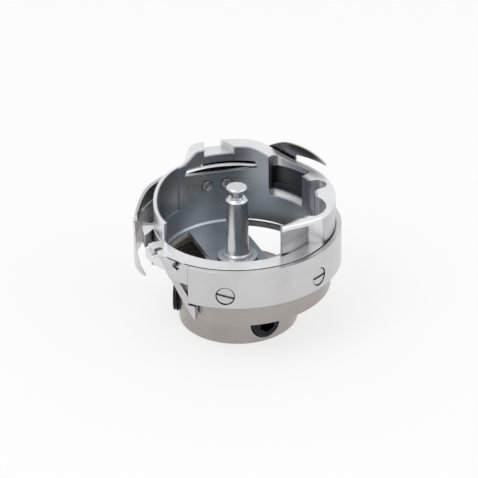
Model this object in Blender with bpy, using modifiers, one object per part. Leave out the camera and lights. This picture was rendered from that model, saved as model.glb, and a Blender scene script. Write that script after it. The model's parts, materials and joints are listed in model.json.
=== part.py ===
"""Rotary sewing hook with its bobbin case base, standing on the hub.

Lengths are in millimetres and angles in degrees; place() scales each mesh to metres.
The hook axis is +Z, the hub's bottom face lies at z = 0, and angles run counterclockwise from +X.
"""
import math

import bmesh
import bpy
from mathutils import Matrix, Vector

MM = 0.001
GAP = 0.3
EDGE = 0.15
OVER = 1.0
ARC_STEP = 5.0
HOLE_SIDES = 20

# Hook, outside
HOOK_RADIUS = 20.0
HUB_RADIUS = 11.55
HUB_HEIGHT = 8.4
HUB_EDGE = 0.4
BORE_RADIUS = 3.97
CUP_RADIUS = 18.0
CUP_BOTTOM = 8.0
FLOOR_TOP = 9.4
BAND_BOTTOM = 12.9
BAND_TOP = 20.4
BEYOND = 25.0
HIGHEST = 32.0

# Race, where the rib of the bobbin case base runs
WALL_INNER = 16.6
LEDGE = 17.4
SEGMENT_LEDGE = 17.45
GROOVE_RADIUS = 19.6
LIP_RADIUS = 18.95
LIP_BOTTOM = 19.8
CROWN_INNER = 19.15
CROWN_TOP = 23.8
CROWN_LOW = 22.0
CROWN_END_TOP = 17.6
CROWN_SHELL = 19.5
CROWN_LEAN = 0.3

# Angles round the hook
TOE_START = -139.5
GIB_START = -118.0
GIB_END = 46.0
GUARD_START = 47.0
GUARD_END = 110.0
CROWN_START = 111.0
CROWN_FALL = 176.0
CROWN_END = 188.0
OPEN_START = 40.0
OPEN_END = 98.0
THROAT_START = 160.0

# Toe at the band's left end, and the slanted edge of the throat below it
TOE_BOTTOM = 16.8
TOE_FOOT = 16.8
TOE_NOTCH = {"angle": -125.5, "half": 0.75, "floor": 19.2}
SLANT_MIDDLE = -127.0
SLANT_TOP = (-4.16, 21.5)
SLANT_FOOT = (5.98, 6.8)

# Beak, the blade that runs from the crown to the hook point
BEAK_ROOT = 172.0
BEAK_FALL = 180.0
BEAK_TIP = 207.3
BEAK_RADIUS = HOOK_RADIUS - 0.05
BEAK_TOPS = (20.8, 14.6)
BEAK_FEET = (13.0, 14.1)
BEAK_THICK = (0.40, 0.30)

# Thread guard and its pointed blade
BLADE_TIP = 28.0
BLADE_ROOT = 56.0
BLADE_FEET = (26.95, 27.6)
BLADE_FALL = 1.2
BLADE_THINNING = 0.35
GUARD_WALL_END = 53.0
GUARD_PEAK = 29.1
GUARD_SHOULDER = 26.7

# Needle guard
GUARD_OUTER = 18.7
GUARD_LIP = 19.8
GUARD_LIP_WIDTH = 2.0
GUARD_LIP_END = -114.2
GUARD_HEIGHTS = (8.8, 16.4)
GUARD_TAB_END = -104.0

# Bobbin case base
BOWL_INNER = 14.9
BOWL_OUTER = 16.2
BOWL_BOTTOM = 11.8
BOWL_FLOOR = 13.0
FLOOR_FILLET = 0.4
RIB_RADIUS = 19.25
RIB_TOP = 19.5
RING_RADIUS = 18.6
RING_INNER = 15.45
RIB_END = 74.0
TOOTH_START = 182.0
TOOTH_END = 187.0
TOOTH_POINT = 198.0
TOOTH_RADIUS = 18.2
RIB_START = 205.0
RING_NOTCH = {"angle": 214.0, "half": 0.55, "floor": 18.9}
UPPER_OUTER = 15.95
PANEL_OUTER = 15.6
PANEL_END = 13.1
BLANK_INNER = 14.0
FLANGE_RADIUS = 18.85
ARM_TIP = -57.5
ARM_ROOT = -20.0
ARM_EDGE = 15.7
ARM_BOTTOM = 25.3
SIDE_END = 68.0
FLANGE_END = 131.0
LEFT_END = 210.0
LEFT_CREST = 27.25
LEFT_TOP = 24.8
SIDE_TOP = 26.2
BACK_TOP = 29.05
BRIDGE_ANGLE = 111.0
BRIDGE_HALF = 5.2
LEFT_OPENING = 14.0
RIGHT_OPENING = 14.7
SIDE_OPENING = (184.0, 240.0)
RIVET_HOLE = 1.7

# Openings in the bowl's wall
WINDOW_START = 32.0
WINDOW_END = 65.0
WINDOW_TOP = 24.8
WINDOW_LIP = 17.3
WINDOW_WALL = 17.7
WINDOW_ROUND = 1.5
WINDOW_ARCH = 2.4
SILL = 19.2
NEEDLE_POCKET = {"angle": 15.7, "reach": 17.85, "radius": 1.85, "flare": 1.9}
THREAD_POCKET = {"x": 11.75, "y": -4.5, "radius": 5.1, "side": -7.4}
SLOT_START = 74.5
SLOT_END = 132.0
SLOT_TOP = 26.15
SLOT_SAG = 23.9
SLOT_END_LOW = 24.8
SLOT_ROUNDS = (0.6, 1.2)
NOTCH_FLOOR = 27.7
NOTCH_OUTLINE = ((-6.25, 12.0), (-6.25, 21.0), (-4.4, 21.0), (-3.3, 18.9), (-0.8, 15.8), (1.3, 12.0))

# Centre stud
STUD_RADIUS = 2.15
STUD_SHOULDER = 25.85
STUD_NECK = 1.15
STUD_HEAD = 2.05
HEAD_DOME = 0.65
HEAD_RIM = 0.2
STUD_TOP = 28.6
COLLAR_RADIUS = 2.9
FOOT_RADIUS = 3.9
RIVET_SHANK = 1.4
RIVET_HEAD = 2.6
RIVET_BOTTOM = 10.7

# Screws of the race segments
SCREW_HEIGHT = 15.46
GIB_SCREW_ANGLES = (-97.0, -39.8, 17.4)
GIB_SLOT_ROLLS = (-14.0, 0.0, 0.0)
GUARD_SCREW_ANGLES = (62.0, 96.0)
GUARD_SLOT_ROLLS = (35.0, 70.0)
SCREW_HOLE = 1.2
SCREW_SEAT = 18.75
SCREW = {"head": 1.6, "height": 0.85, "shank": 0.9, "length": 2.15}

# Set screws of the hub
SET_SCREW_ANGLES = (-63.0, 57.0, 177.0)
SET_SCREW_HEIGHT = 4.0
SET_SCREW_RADIUS = 2.9
SET_SCREW_LENGTH = 6.0
SET_SCREW_OUTS = (12.1, 12.1, 12.6)
SET_SCREW_SIDES = 24
SET_SCREW_CHAMFER = 0.3
SET_SCREW_POINT = 0.8
SOCKET_RADIUS = 1.75
SOCKET_DEPTH = 2.6

# Leaf spring behind the slot, and its screws
LEAF_RADII = (16.3, 16.8)
LEAF_BOTTOM = 19.4
LEAF_DROP = 1.4
LEAF_START = 74.5
LEAF_END = 132.0
LEAF_SCREW_ANGLES = (113.0, 97.3)
LEAF_SLOT_ROLLS = (55.0, 80.0)
LEAF_SCREW_HEIGHT = 21.3
LEAF_HOLE = 0.85
LEAF_SEAT = 15.45
LEAF_SCREW = {"head": 0.9, "height": 0.55, "shank": 0.55, "length": 1.95}


def smooth_step(value, low, high):
    """0 below low, 1 above high, eased between."""
    t = min(1.0, max(0.0, (value - low) / (high - low)))
    return t * t * (3.0 - 2.0 * t)


def blend(value, low, high, first, second):
    """First value up to low, second from high on, eased between."""
    return first + (second - first) * smooth_step(value, low, high)


def mix(ends, along):
    """Straight way from the first of two values to the second."""
    return ends[0] + (ends[1] - ends[0]) * along


def polar(radius, angle):
    """Point at a radius and an angle in the XY plane."""
    return radius * math.cos(math.radians(angle)), radius * math.sin(math.radians(angle))


def arc_angles(start, end):
    """Angles from start to end, at every multiple of ARC_STEP between them."""
    first = math.floor(start / ARC_STEP) + 1
    last = math.ceil(end / ARC_STEP) - 1
    return [start] + [ARC_STEP * n for n in range(first, last + 1)] + [end]


def new_object(name, mesh):
    """Object in the parts collection."""
    obj = bpy.data.objects.new(name, mesh)
    parts.objects.link(obj)
    return obj


def bake(obj):
    """Replace an object's modifiers by the mesh they make."""
    depsgraph = bpy.context.evaluated_depsgraph_get()
    mesh = bpy.data.meshes.new_from_object(obj.evaluated_get(depsgraph))
    old = obj.data
    obj.modifiers.clear()
    obj.data = mesh
    bpy.data.meshes.remove(old)


def weld(obj):
    """Merge the points that a boolean leaves within a micrometre of each other."""
    shape = bmesh.new()
    shape.from_mesh(obj.data)
    bmesh.ops.remove_doubles(shape, verts=shape.verts, dist=0.001)
    bmesh.ops.dissolve_degenerate(shape, edges=shape.edges, dist=0.0005)
    shape.to_mesh(obj.data)
    shape.free()


def combine(obj, other, operation):
    """Boolean of two objects, kept in the first; the exact solver turns the bowl inside out."""
    modifier = obj.modifiers.new(operation, "BOOLEAN")
    modifier.operation = operation
    modifier.solver = "MANIFOLD"
    modifier.object = other
    bake(obj)
    weld(obj)
    mesh = other.data
    bpy.data.objects.remove(other)
    bpy.data.meshes.remove(mesh)


def cut(obj, *cutters):
    for cutter in cutters:
        combine(obj, cutter, "DIFFERENCE")


def join(obj, *others):
    for other in others:
        combine(obj, other, "UNION")


def turned(name, profile, closed=True, steps=int(360 / ARC_STEP)):
    """Piece turned round Z from a profile of (radius, height), top to bottom outside.

    A closed profile makes a ring; an open one starts and ends on the axis.
    """
    mesh = bpy.data.meshes.new(name)
    count = len(profile)
    edges = [(n, n + 1) for n in range(count - 1)]
    if closed:
        edges.append((count - 1, 0))
    mesh.from_pydata([(radius, 0.0, height) for radius, height in profile], edges, [])
    obj = new_object(name, mesh)
    screw = obj.modifiers.new("turn", "SCREW")
    screw.steps = steps
    screw.render_steps = screw.steps
    screw.use_merge_vertices = True
    screw.merge_threshold = 0.0001
    bake(obj)
    return obj


def arc_loft(name, angles, section):
    """Solid swept along angles round Z; section(angle) gives its (radius, height) loop.

    The loop runs down its outer side, and its form may change along the way.
    """
    mesh = bpy.data.meshes.new(name)
    shape = bmesh.new()
    loops = []
    for angle in angles:
        loop = []
        for radius, height in section(angle):
            loop.append(shape.verts.new((*polar(radius, angle), height)))
        loops.append(loop)
    count = len(loops[0])
    for near, far in zip(loops, loops[1:]):
        for n in range(count):
            m = (n + 1) % count
            shape.faces.new((near[n], near[m], far[m], far[n]))
    shape.faces.new(loops[0][::-1])
    shape.faces.new(loops[-1])
    bmesh.ops.recalc_face_normals(shape, faces=shape.faces)
    shape.to_mesh(mesh)
    shape.free()
    return new_object(name, mesh)


def plate(name, outline, low, high):
    """Flat outline in XY, thick from low to high."""
    curve = bpy.data.curves.new(name, "CURVE")
    curve.dimensions = "2D"
    curve.fill_mode = "BOTH"
    curve.extrude = (high - low) / 2
    spline = curve.splines.new("POLY")
    spline.points.add(len(outline) - 1)
    for point, (x, y) in zip(spline.points, outline):
        point.co = (x, y, 0.0, 1.0)
    spline.use_cyclic_u = True
    drawn = new_object(name + "_outline", curve)
    depsgraph = bpy.context.evaluated_depsgraph_get()
    mesh = bpy.data.meshes.new_from_object(drawn.evaluated_get(depsgraph))
    shape = bmesh.new()
    shape.from_mesh(mesh)
    bmesh.ops.remove_doubles(shape, verts=shape.verts, dist=0.0001)
    bmesh.ops.translate(shape, verts=shape.verts, vec=(0.0, 0.0, (low + high) / 2))
    bmesh.ops.recalc_face_normals(shape, faces=shape.faces)
    shape.to_mesh(mesh)
    shape.free()
    bpy.data.objects.remove(drawn)
    bpy.data.curves.remove(curve)
    return new_object(name, mesh)


def sector(name, inner, outer, start, end, low, high):
    """Part of a ring between two radii, two angles and two heights."""
    angles = arc_angles(start, end)
    outline = [polar(outer, angle) for angle in angles]
    outline += [polar(inner, angle) for angle in reversed(angles)]
    return plate(name, outline, low, high)


def radial_frame(angle, height, reach=0.0, roll=0.0, inward=False):
    """Frame at a reach from the hook axis, Z pointing away from it or inward, Y up before the roll."""
    place_at = Vector((*polar(reach, angle), height))
    out = Vector((*polar(-1.0 if inward else 1.0, angle), 0.0))
    up = Vector((0.0, 0.0, 1.0))
    matrix = Matrix((up.cross(out), up, out)).transposed().to_4x4()
    matrix.translation = place_at
    return matrix @ Matrix.Rotation(math.radians(roll), 4, "Z")


def rod(name, radius, low, high, matrix=None, sides=HOLE_SIDES):
    """Cylinder along the Z axis of a frame."""
    mesh = bpy.data.meshes.new(name)
    shape = bmesh.new()
    bmesh.ops.create_cone(shape, cap_ends=True, segments=sides, radius1=radius,
                          radius2=radius, depth=high - low)
    bmesh.ops.translate(shape, verts=shape.verts, vec=(0.0, 0.0, (low + high) / 2))
    bmesh.ops.transform(shape, matrix=matrix or Matrix.Identity(4), verts=shape.verts)
    shape.to_mesh(mesh)
    shape.free()
    return new_object(name, mesh)


def block(name, size, centre):
    """Box of the given size about a centre."""
    mesh = bpy.data.meshes.new(name)
    shape = bmesh.new()
    bmesh.ops.create_cube(shape, size=1.0)
    bmesh.ops.scale(shape, verts=shape.verts, vec=size)
    bmesh.ops.translate(shape, verts=shape.verts, vec=centre)
    shape.to_mesh(mesh)
    shape.free()
    return new_object(name, mesh)


def race_section(foot_radius, foot_height, outer=HOOK_RADIUS):
    """Section of a segment that closes the race: foot, groove and lip, under the band's top edge."""
    return [(outer - EDGE, BAND_TOP), (outer, BAND_TOP - EDGE), (outer, foot_height + EDGE),
            (outer - EDGE, foot_height), (foot_radius, foot_height), (foot_radius, SEGMENT_LEDGE),
            (GROOVE_RADIUS, SEGMENT_LEDGE), (GROOVE_RADIUS, LIP_BOTTOM), (LIP_RADIUS, LIP_BOTTOM),
            (LIP_RADIUS, BAND_TOP)]


def tall_section(section, top, lean, inner=CROWN_INNER):
    """Race segment with a thin wall standing on its lip, leaning in at the top."""
    outer = section[2][0]
    wall = [(outer - lean, top), (outer, BAND_TOP)]
    return wall + section[2:] + [(inner, BAND_TOP + 0.2), (inner, top)]


def crown_top(angle):
    """Height of the crown's rim, easing down towards the beak."""
    return blend(angle, 150.0, CROWN_FALL, CROWN_TOP, CROWN_LOW)


def crown_section(angle):
    """Crown, drawing in round the beak's root so that the beak comes out of it."""
    foot = blend(angle, 165.0, 180.0, BAND_BOTTOM, BAND_BOTTOM + 0.5)
    outer = HOOK_RADIUS - blend(angle, 170.0, 182.0, 0.0, 0.12)
    return tall_section(race_section(WALL_INNER + 0.6, foot, outer), crown_top(angle), CROWN_LEAN)


def crown_foot_section(angle):
    """Space under the crown over the throat, which leaves a shell as thin as the beak."""
    shell = blend(angle, BEAK_ROOT, 184.0, CROWN_SHELL, HOOK_RADIUS - 0.2)
    return wall_section(shell, WALL_INNER - OVER, BAND_BOTTOM - OVER, BAND_TOP + 0.5)


def crown_fall_section(angle):
    """Space above the crown where its rim drops to the beak."""
    rim = blend(angle, CROWN_FALL, CROWN_END, CROWN_LOW, CROWN_END_TOP)
    return wall_section(BEYOND, WALL_INNER - OVER, rim, HIGHEST)


def beak_section(angle):
    """Blade that sweeps down from inside the crown's shell to the point."""
    along = max(0.0, (angle - BEAK_FALL) / (BEAK_TIP - BEAK_FALL))
    high = mix(BEAK_TOPS, 1.0 - (1.0 - along) ** 1.6)
    low = mix(BEAK_FEET, along ** 2)
    return wall_section(BEAK_RADIUS, BEAK_RADIUS - mix(BEAK_THICK, along), low, high)


def screw_holes(obj, angles, seat=False):
    """Radial holes for the race screws, with a seat for the head where one is asked for."""
    for angle in angles:
        matrix = radial_frame(angle, SCREW_HEIGHT)
        cut(obj, rod("hole", SCREW_HOLE, WALL_INNER - OVER, BEYOND, matrix))
        if seat:
            cut(obj, rod("seat", SCREW["head"] + GAP, SCREW_SEAT, BEYOND, matrix))


def slanted_slab(name, shift, far, inner):
    """Slab from the throat's slanted edge, moved by a shift, to far along the band, outside a radius."""
    (top_edge, top), (foot_edge, foot) = SLANT_TOP, SLANT_FOOT
    outline = [(top_edge + shift, top), (foot_edge + shift, foot), (far, foot), (far, top)]
    slab = plate(name, outline, inner, BEYOND)
    slab.data.transform(radial_frame(SLANT_MIDDLE, 0.0))
    return slab


def edge_notch(name, inner, angle, half, floor):
    """U-shaped notch from the band's top edge down to a floor, cut radially outside a radius."""
    bottom = [(x, floor + half + y) for x, y in (polar(half, turn) for turn in range(180, 361, 20))]
    outline = [(-half, BAND_TOP + OVER)] + bottom + [(half, BAND_TOP + OVER)]
    notch = plate(name, outline, inner, BEYOND)
    notch.data.transform(radial_frame(angle, 0.0))
    return notch


def make_hook_body():
    cup = turned("hook_body", [
        (CUP_RADIUS, LEDGE), (CUP_RADIUS, CUP_BOTTOM), (HUB_RADIUS, CUP_BOTTOM),
        (HUB_RADIUS, HUB_EDGE), (HUB_RADIUS - HUB_EDGE, 0.0), (BORE_RADIUS + HUB_EDGE, 0.0),
        (BORE_RADIUS, HUB_EDGE), (BORE_RADIUS, FLOOR_TOP), (WALL_INNER - 1.0, FLOOR_TOP),
        (WALL_INNER, FLOOR_TOP + 1.0), (WALL_INNER, LEDGE)])
    below_cup = CUP_BOTTOM - OVER
    clear_of_hub = HUB_RADIUS + 0.1
    # Opening at the back right, down to the hub
    cut(cup, sector("open_wall", clear_of_hub, BEYOND, OPEN_START, OPEN_END, below_cup, BAND_BOTTOM))
    cut(cup, sector("open_floor", BORE_RADIUS + 2.0, clear_of_hub + 2.0, OPEN_START + 2.0,
                    OPEN_END - 2.0, HUB_HEIGHT, BAND_BOTTOM - 0.9))
    # Throat at the left, where the thread loop slips off
    cut(cup, sector("throat", clear_of_hub, BEYOND, THROAT_START, 360.0 + TOE_START, below_cup,
                    LEDGE + 0.6))
    toe = arc_loft("toe", arc_angles(TOE_START, GIB_START - 3 * GAP),
                   lambda angle: race_section(TOE_FOOT, TOE_BOTTOM))
    cut(toe, edge_notch("toe_notch", CUP_RADIUS, **TOE_NOTCH))
    join(cup, toe)
    cut(cup, slanted_slab("slant", 0.0, -8.0, 12.2))
    # Crown and beak
    crown = arc_loft("crown", arc_angles(CROWN_START, CROWN_END), crown_section)
    cut(crown, arc_loft("crown_foot", arc_angles(THROAT_START + 1.0, CROWN_END + 2.0), crown_foot_section))
    cut(crown, arc_loft("crown_fall", arc_angles(CROWN_FALL - 2.0, CROWN_END + 2.0), crown_fall_section))
    beak = arc_loft("beak", arc_angles(BEAK_ROOT, BEAK_TIP), beak_section)
    join(cup, crown, beak)
    screw_holes(cup, GIB_SCREW_ANGLES + GUARD_SCREW_ANGLES)
    for angle in SET_SCREW_ANGLES:
        cut(cup, rod("set_hole", SET_SCREW_RADIUS + GAP, BORE_RADIUS - 2.0, HUB_RADIUS + 2.5,
                     radial_frame(angle, SET_SCREW_HEIGHT), SET_SCREW_SIDES))
    return cup


def make_gib():
    gib = arc_loft("hook_gib", arc_angles(GIB_START, GIB_END),
                   lambda angle: race_section(CUP_RADIUS + GAP, BAND_BOTTOM))
    cut(gib, sector("guard_room", CUP_RADIUS - 0.5, GUARD_OUTER + GAP, GIB_START - OVER,
                    GUARD_TAB_END + 1.0, BAND_BOTTOM - OVER, GUARD_HEIGHTS[1] + 0.5))
    screw_holes(gib, GIB_SCREW_ANGLES, seat=True)
    return gib


def blade_along(angle):
    """0 at the root of the thread guard's blade, 1 at its tip."""
    return max(0.0, (BLADE_ROOT - angle) / (BLADE_ROOT - BLADE_TIP))


def guard_top(angle):
    """Rim of the thread guard: up from the crown to the blade's root, and down to its tip."""
    shoulder = blend(angle, BLADE_ROOT + 2.0, 80.0, GUARD_PEAK, GUARD_SHOULDER)
    return blend(angle, 80.0, GUARD_END, shoulder, CROWN_TOP) - BLADE_FALL * blade_along(angle) ** 2


def guard_section(angle):
    inner = CROWN_INNER + BLADE_THINNING * blade_along(angle)
    return tall_section(race_section(CUP_RADIUS + GAP, BAND_BOTTOM), guard_top(angle), EDGE, inner)


def under_blade_section(angle):
    """Space between the blade and the gib."""
    return wall_section(BEYOND, WALL_INNER, BAND_TOP + 0.6, mix(BLADE_FEET, blade_along(angle)))


def make_thread_guard():
    guard = arc_loft("thread_guard", arc_angles(BLADE_TIP, GUARD_END), guard_section)
    before_tip = BLADE_TIP - OVER
    cut(guard, arc_loft("under_blade", arc_angles(before_tip, GUARD_WALL_END), under_blade_section))
    cut(guard, sector("gib_room", WALL_INNER, BEYOND, before_tip, GUARD_START, BAND_BOTTOM - OVER,
                      BAND_TOP + 0.7))
    screw_holes(guard, GUARD_SCREW_ANGLES, seat=True)
    return guard


def make_needle_guard():
    """Plate under the gib, with a raised lip along the slanted edge of the throat."""
    low, high = GUARD_HEIGHTS
    guard = arc_loft("needle_guard", arc_angles(SLANT_MIDDLE - 13.0, GUARD_TAB_END),
                     lambda angle: wall_section(GUARD_LIP, CUP_RADIUS + GAP, low, high))
    cut(guard, sector("cup_side", CUP_RADIUS - OVER, BEYOND, GUARD_LIP_END, GUARD_TAB_END + 4.0,
                      low - OVER, BAND_BOTTOM + GAP))
    cut(guard, slanted_slab("slant", 0.0, -16.0, 12.2))
    cut(guard, slanted_slab("plain_side", GUARD_LIP_WIDTH, 16.0, GUARD_OUTER))
    cut(guard, sector("tab_face", GUARD_OUTER, BEYOND, GIB_START - 1.2, GUARD_TAB_END + 5.0,
                      BAND_BOTTOM - 0.6, high + OVER))
    return guard


def slotted_screw(name, head, height, shank, length):
    """Screw along Z: head from the seat up, shank below it, slot across the head."""
    screw = rod(name, head, 0.0, height)
    join(screw, rod("shank", shank, -length, height / 3, sides=12))
    slot_depth = 0.4
    cut(screw, block("slot", (2 * head + OVER, 0.26 * head, 2 * slot_depth), (0.0, 0.0, height)))
    return screw


def set_screw(name):
    """Headless screw along Z, its hex socket at the top and its point towards the shaft."""
    screw = turned(name, [
        (0.0, 0.0), (SET_SCREW_RADIUS - SET_SCREW_CHAMFER, 0.0), (SET_SCREW_RADIUS, -SET_SCREW_CHAMFER),
        (SET_SCREW_RADIUS, SET_SCREW_POINT - SET_SCREW_LENGTH),
        (SET_SCREW_RADIUS - SET_SCREW_POINT, -SET_SCREW_LENGTH), (0.0, -SET_SCREW_LENGTH)],
        closed=False, steps=SET_SCREW_SIDES)
    cut(screw, rod("socket", SOCKET_RADIUS, -SOCKET_DEPTH, OVER, sides=6))
    return screw


def wall_top(angle):
    """Height of the bowl's upper wall, highest at the back."""
    if angle < 90.0:
        return blend(angle, 50.0, 84.0, SIDE_TOP, BACK_TOP)
    if angle < 140.0:
        return blend(angle, 119.0, 132.0, BACK_TOP, LEFT_CREST)
    return blend(angle, 140.0, 205.0, LEFT_CREST, LEFT_TOP)


def wall_section(outer, inner, foot, top):
    return [(outer, top), (outer, foot), (inner, foot), (inner, top)]


def rear_section(angle):
    """Rear and left wall, a little lower than the flange on it."""
    return wall_section(UPPER_OUTER, BLANK_INNER - 0.2, RIB_TOP - 0.5, wall_top(angle) - EDGE)


def rim_outer(angle):
    """Outer edge of the rim, narrow at the arm's tip and at the rear tab."""
    outer = blend(angle, ARM_TIP, ARM_ROOT, ARM_EDGE, FLANGE_RADIUS)
    return blend(angle, 115.0, FLANGE_END, outer, UPPER_OUTER + 0.15)


def rim_section(angle):
    """Right side wall on the race ring, and behind it the rim that overhangs the rear wall."""
    high = wall_top(angle)
    outer = rim_outer(angle)
    inner = BLANK_INNER + 0.3
    if angle <= SIDE_END:
        under = BAND_TOP + 0.35
        neck = (outer - 0.45, BAND_TOP - 0.1)
        foot = RIB_TOP - 0.3
    else:
        under = high - blend(angle, 50.0, 80.0, 1.3, 2.4)
        neck = (BOWL_INNER + 0.4, under - 0.1)
        foot = under - 0.3
    return [(outer - 0.2, high), (outer, high - 0.2), (outer, under), neck, (neck[0], foot),
            (inner, foot), (inner, high)]


def make_rim():
    """Side wall and rim in one sweep, with the flat panel milled back under the arm."""
    rim = arc_loft("rim", arc_angles(ARM_TIP, SIDE_END) + arc_angles(SIDE_END + 0.5, FLANGE_END), rim_section)
    panel_angle = -math.degrees(math.acos(PANEL_END / PANEL_OUTER))
    outline = [polar(PANEL_OUTER, angle) for angle in arc_angles(ARM_TIP - 8.0, panel_angle)]
    outline += [(BEYOND, outline[-1][1]), (BEYOND, -BEYOND), (0.0, -BEYOND)]
    cut(rim, plate("panel", outline, LEDGE, ARM_BOTTOM))
    return rim


def corner(distance, size):
    """How far a round corner of a size falls short of its square corner, at a distance from its side."""
    left = 1.0 - min(1.0, max(0.0, distance / size))
    return size * (1.0 - math.sqrt(1.0 - left ** 2))


def window_section(angle):
    """Recess for the finger of the bobbin case, open upwards, with round corners in plan."""
    from_jamb = math.radians(min(angle - WINDOW_START, WINDOW_END - angle)) * WINDOW_LIP
    outer = WINDOW_LIP - corner(from_jamb, WINDOW_ROUND)
    return wall_section(outer, BLANK_INNER - OVER, BAND_TOP + 0.05, HIGHEST)


def arch_section(angle):
    """Deeper part of the recess, under an arch that comes down beside the needle pocket."""
    from_jamb = math.radians(angle - WINDOW_START) * WINDOW_LIP
    return wall_section(WINDOW_WALL, BLANK_INNER, BAND_TOP + 0.6, WINDOW_TOP - corner(from_jamb, WINDOW_ARCH))


def slot_heights(angle):
    """Lower and upper edge of the long slot in the back wall, level above and sagging below."""
    along = (2.0 * angle - SLOT_START - SLOT_END) / (SLOT_END - SLOT_START)
    low = mix((SLOT_SAG, SLOT_END_LOW), along * along)
    high = SLOT_TOP
    for end, size in zip((SLOT_START, SLOT_END), SLOT_ROUNDS):
        high -= corner(math.radians(abs(angle - end)) * BOWL_INNER, size)
    return low, high


def slot_section(angle):
    return wall_section(UPPER_OUTER + OVER, BOWL_INNER - OVER, *slot_heights(angle))


def leaf_section(angle):
    """Leaf behind the slot, its upper edge a little below the slot's."""
    inner, outer = LEAF_RADII
    return wall_section(outer, inner, LEAF_BOTTOM, SLOT_TOP - LEAF_DROP)


def round_about(x, y, radius, angles):
    """Points of a round outline about a centre."""
    return [(x + across, y + along) for across, along in (polar(radius, angle) for angle in angles)]


def needle_pocket(angle, reach, radius, flare):
    """Round-nosed pocket milled outwards from the bowl, along an angle, its front side flared."""
    start = BLANK_INNER - 1.5
    nose = round_about(reach - radius, 0.0, radius, range(-90, 91, 15))
    outline = [(start, -radius - flare)] + nose + [(start, radius)]
    pocket = plate("needle_pocket", outline, BAND_TOP, HIGHEST)
    pocket.data.transform(Matrix.Rotation(math.radians(angle), 4, "Z"))
    return pocket


def thread_pocket(x, y, radius, side):
    """Round pocket behind the arm, deep up to a flat side, and its shallow part in the arm's inner edge."""
    turn = math.degrees(math.asin((side - y) / radius))
    deep = [(x, side)] + round_about(x, y, radius, arc_angles(turn, 90.0))
    shallow = round_about(x, y, radius - 0.05, arc_angles(0.0, 360.0)[:-1])
    arm_edge = plate("arm_edge", shallow, ARM_BOTTOM + 0.3, HIGHEST)
    return plate("thread_pocket", deep, BAND_TOP, HIGHEST), arm_edge


def floor_opening(name, side, radius):
    """Cut-out of the bowl's floor beside the bridge."""
    limit = math.degrees(math.acos(BRIDGE_HALF / radius))
    outline = [polar(radius, side + angle) for angle in arc_angles(-limit, limit)]
    opening = plate(name, outline, BOWL_BOTTOM - OVER, BOWL_FLOOR + 0.3)
    opening.data.transform(Matrix.Rotation(math.radians(BRIDGE_ANGLE), 4, "Z"))
    return opening


def bowl_bore():
    """Inside of the bowl, from the floor up, with a fillet at the floor."""
    return turned("bore", [
        (BOWL_INNER, HIGHEST), (BOWL_INNER, BOWL_FLOOR + FLOOR_FILLET),
        (BOWL_INNER - FLOOR_FILLET, BOWL_FLOOR), (0.5, BOWL_FLOOR), (0.5, HIGHEST)])


def cut_race_ring(bowl):
    """Gap in the rib at the back, the tooth at its left end, and a notch in its outer edge."""
    low = LEDGE - 0.4
    high = BAND_TOP + 1.6
    wall = BOWL_OUTER - 0.1
    cut(bowl, sector("rib_gap", wall, BEYOND, RIB_END, TOOTH_START, low, high))
    cut(bowl, sector("tooth_side", TOOTH_RADIUS, BEYOND, TOOTH_START - OVER, RIB_START - OVER, low, high))
    tooth_gap = [polar(wall, TOOTH_END), polar(TOOTH_RADIUS + OVER, TOOTH_POINT), polar(BEYOND, RIB_START),
                 polar(wall, RIB_START)]
    cut(bowl, plate("tooth_gap", tooth_gap, low, high))
    cut(bowl, edge_notch("ring_notch", RING_RADIUS - 1.4, **RING_NOTCH))


def make_bobbin_case_base():
    bowl = turned("bobbin_case_base", [
        (RING_RADIUS, BAND_TOP), (RING_RADIUS, RIB_TOP), (RIB_RADIUS, RIB_TOP),
        (RIB_RADIUS, LEDGE + GAP), (BOWL_OUTER, LEDGE + GAP), (BOWL_OUTER, BOWL_BOTTOM + 0.2),
        (BOWL_OUTER - 0.2, BOWL_BOTTOM), (RIVET_HOLE, BOWL_BOTTOM), (RIVET_HOLE, BOWL_FLOOR + 1.0),
        (BLANK_INNER, BOWL_FLOOR + 1.0), (BLANK_INNER, RIB_TOP - 1.0), (RING_INNER, BAND_TOP)])
    cut_race_ring(bowl)
    rear = arc_loft("rear_wall", arc_angles(60.0, LEFT_END), rear_section)
    join(bowl, rear, make_rim())
    cut(bowl, bowl_bore())
    cut(bowl, floor_opening("left_opening", 90.0, LEFT_OPENING))
    cut(bowl, floor_opening("right_opening", -90.0, RIGHT_OPENING))
    # Way out of the left floor opening through the wall, over the hook's throat
    cut(bowl, sector("side_opening", LEFT_OPENING - 0.3, BEYOND, *SIDE_OPENING, BOWL_BOTTOM - OVER,
                     LEDGE - 0.1))
    # Thin left wall, relieved from inside
    cut(bowl, sector("left_relief", BLANK_INNER - OVER, BOWL_INNER + 0.3, 138.0, LEFT_END + 4.0,
                     LEDGE + 0.6, HIGHEST))
    # Window recess in the right wall for the finger of the bobbin case
    inside = BLANK_INNER - OVER
    cut(bowl, arc_loft("window", arc_angles(WINDOW_START, WINDOW_END), window_section))
    cut(bowl, arc_loft("arch", arc_angles(WINDOW_START + 0.6, WINDOW_END - 0.6), arch_section))
    cut(bowl, sector("window_sill", inside, UPPER_OUTER + 0.1, WINDOW_START + 0.5, WINDOW_END - 0.5,
                     SILL, BAND_TOP + OVER))
    # Pockets beside the needle's path
    cut(bowl, needle_pocket(**NEEDLE_POCKET), *thread_pocket(**THREAD_POCKET))
    cut(bowl, arc_loft("slot", arc_angles(SLOT_START, SLOT_END), slot_section))
    # Stop notch, with one upright side and one slanting side
    cut(bowl, plate("notch", NOTCH_OUTLINE, NOTCH_FLOOR, HIGHEST))
    for angle in LEAF_SCREW_ANGLES:
        matrix = radial_frame(angle, LEAF_SCREW_HEIGHT)
        cut(bowl, rod("seat", LEAF_SCREW["head"] + GAP, inside, LEAF_SEAT, matrix))
        cut(bowl, rod("hole", LEAF_HOLE, inside, CUP_RADIUS, matrix))
    return bowl


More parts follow.
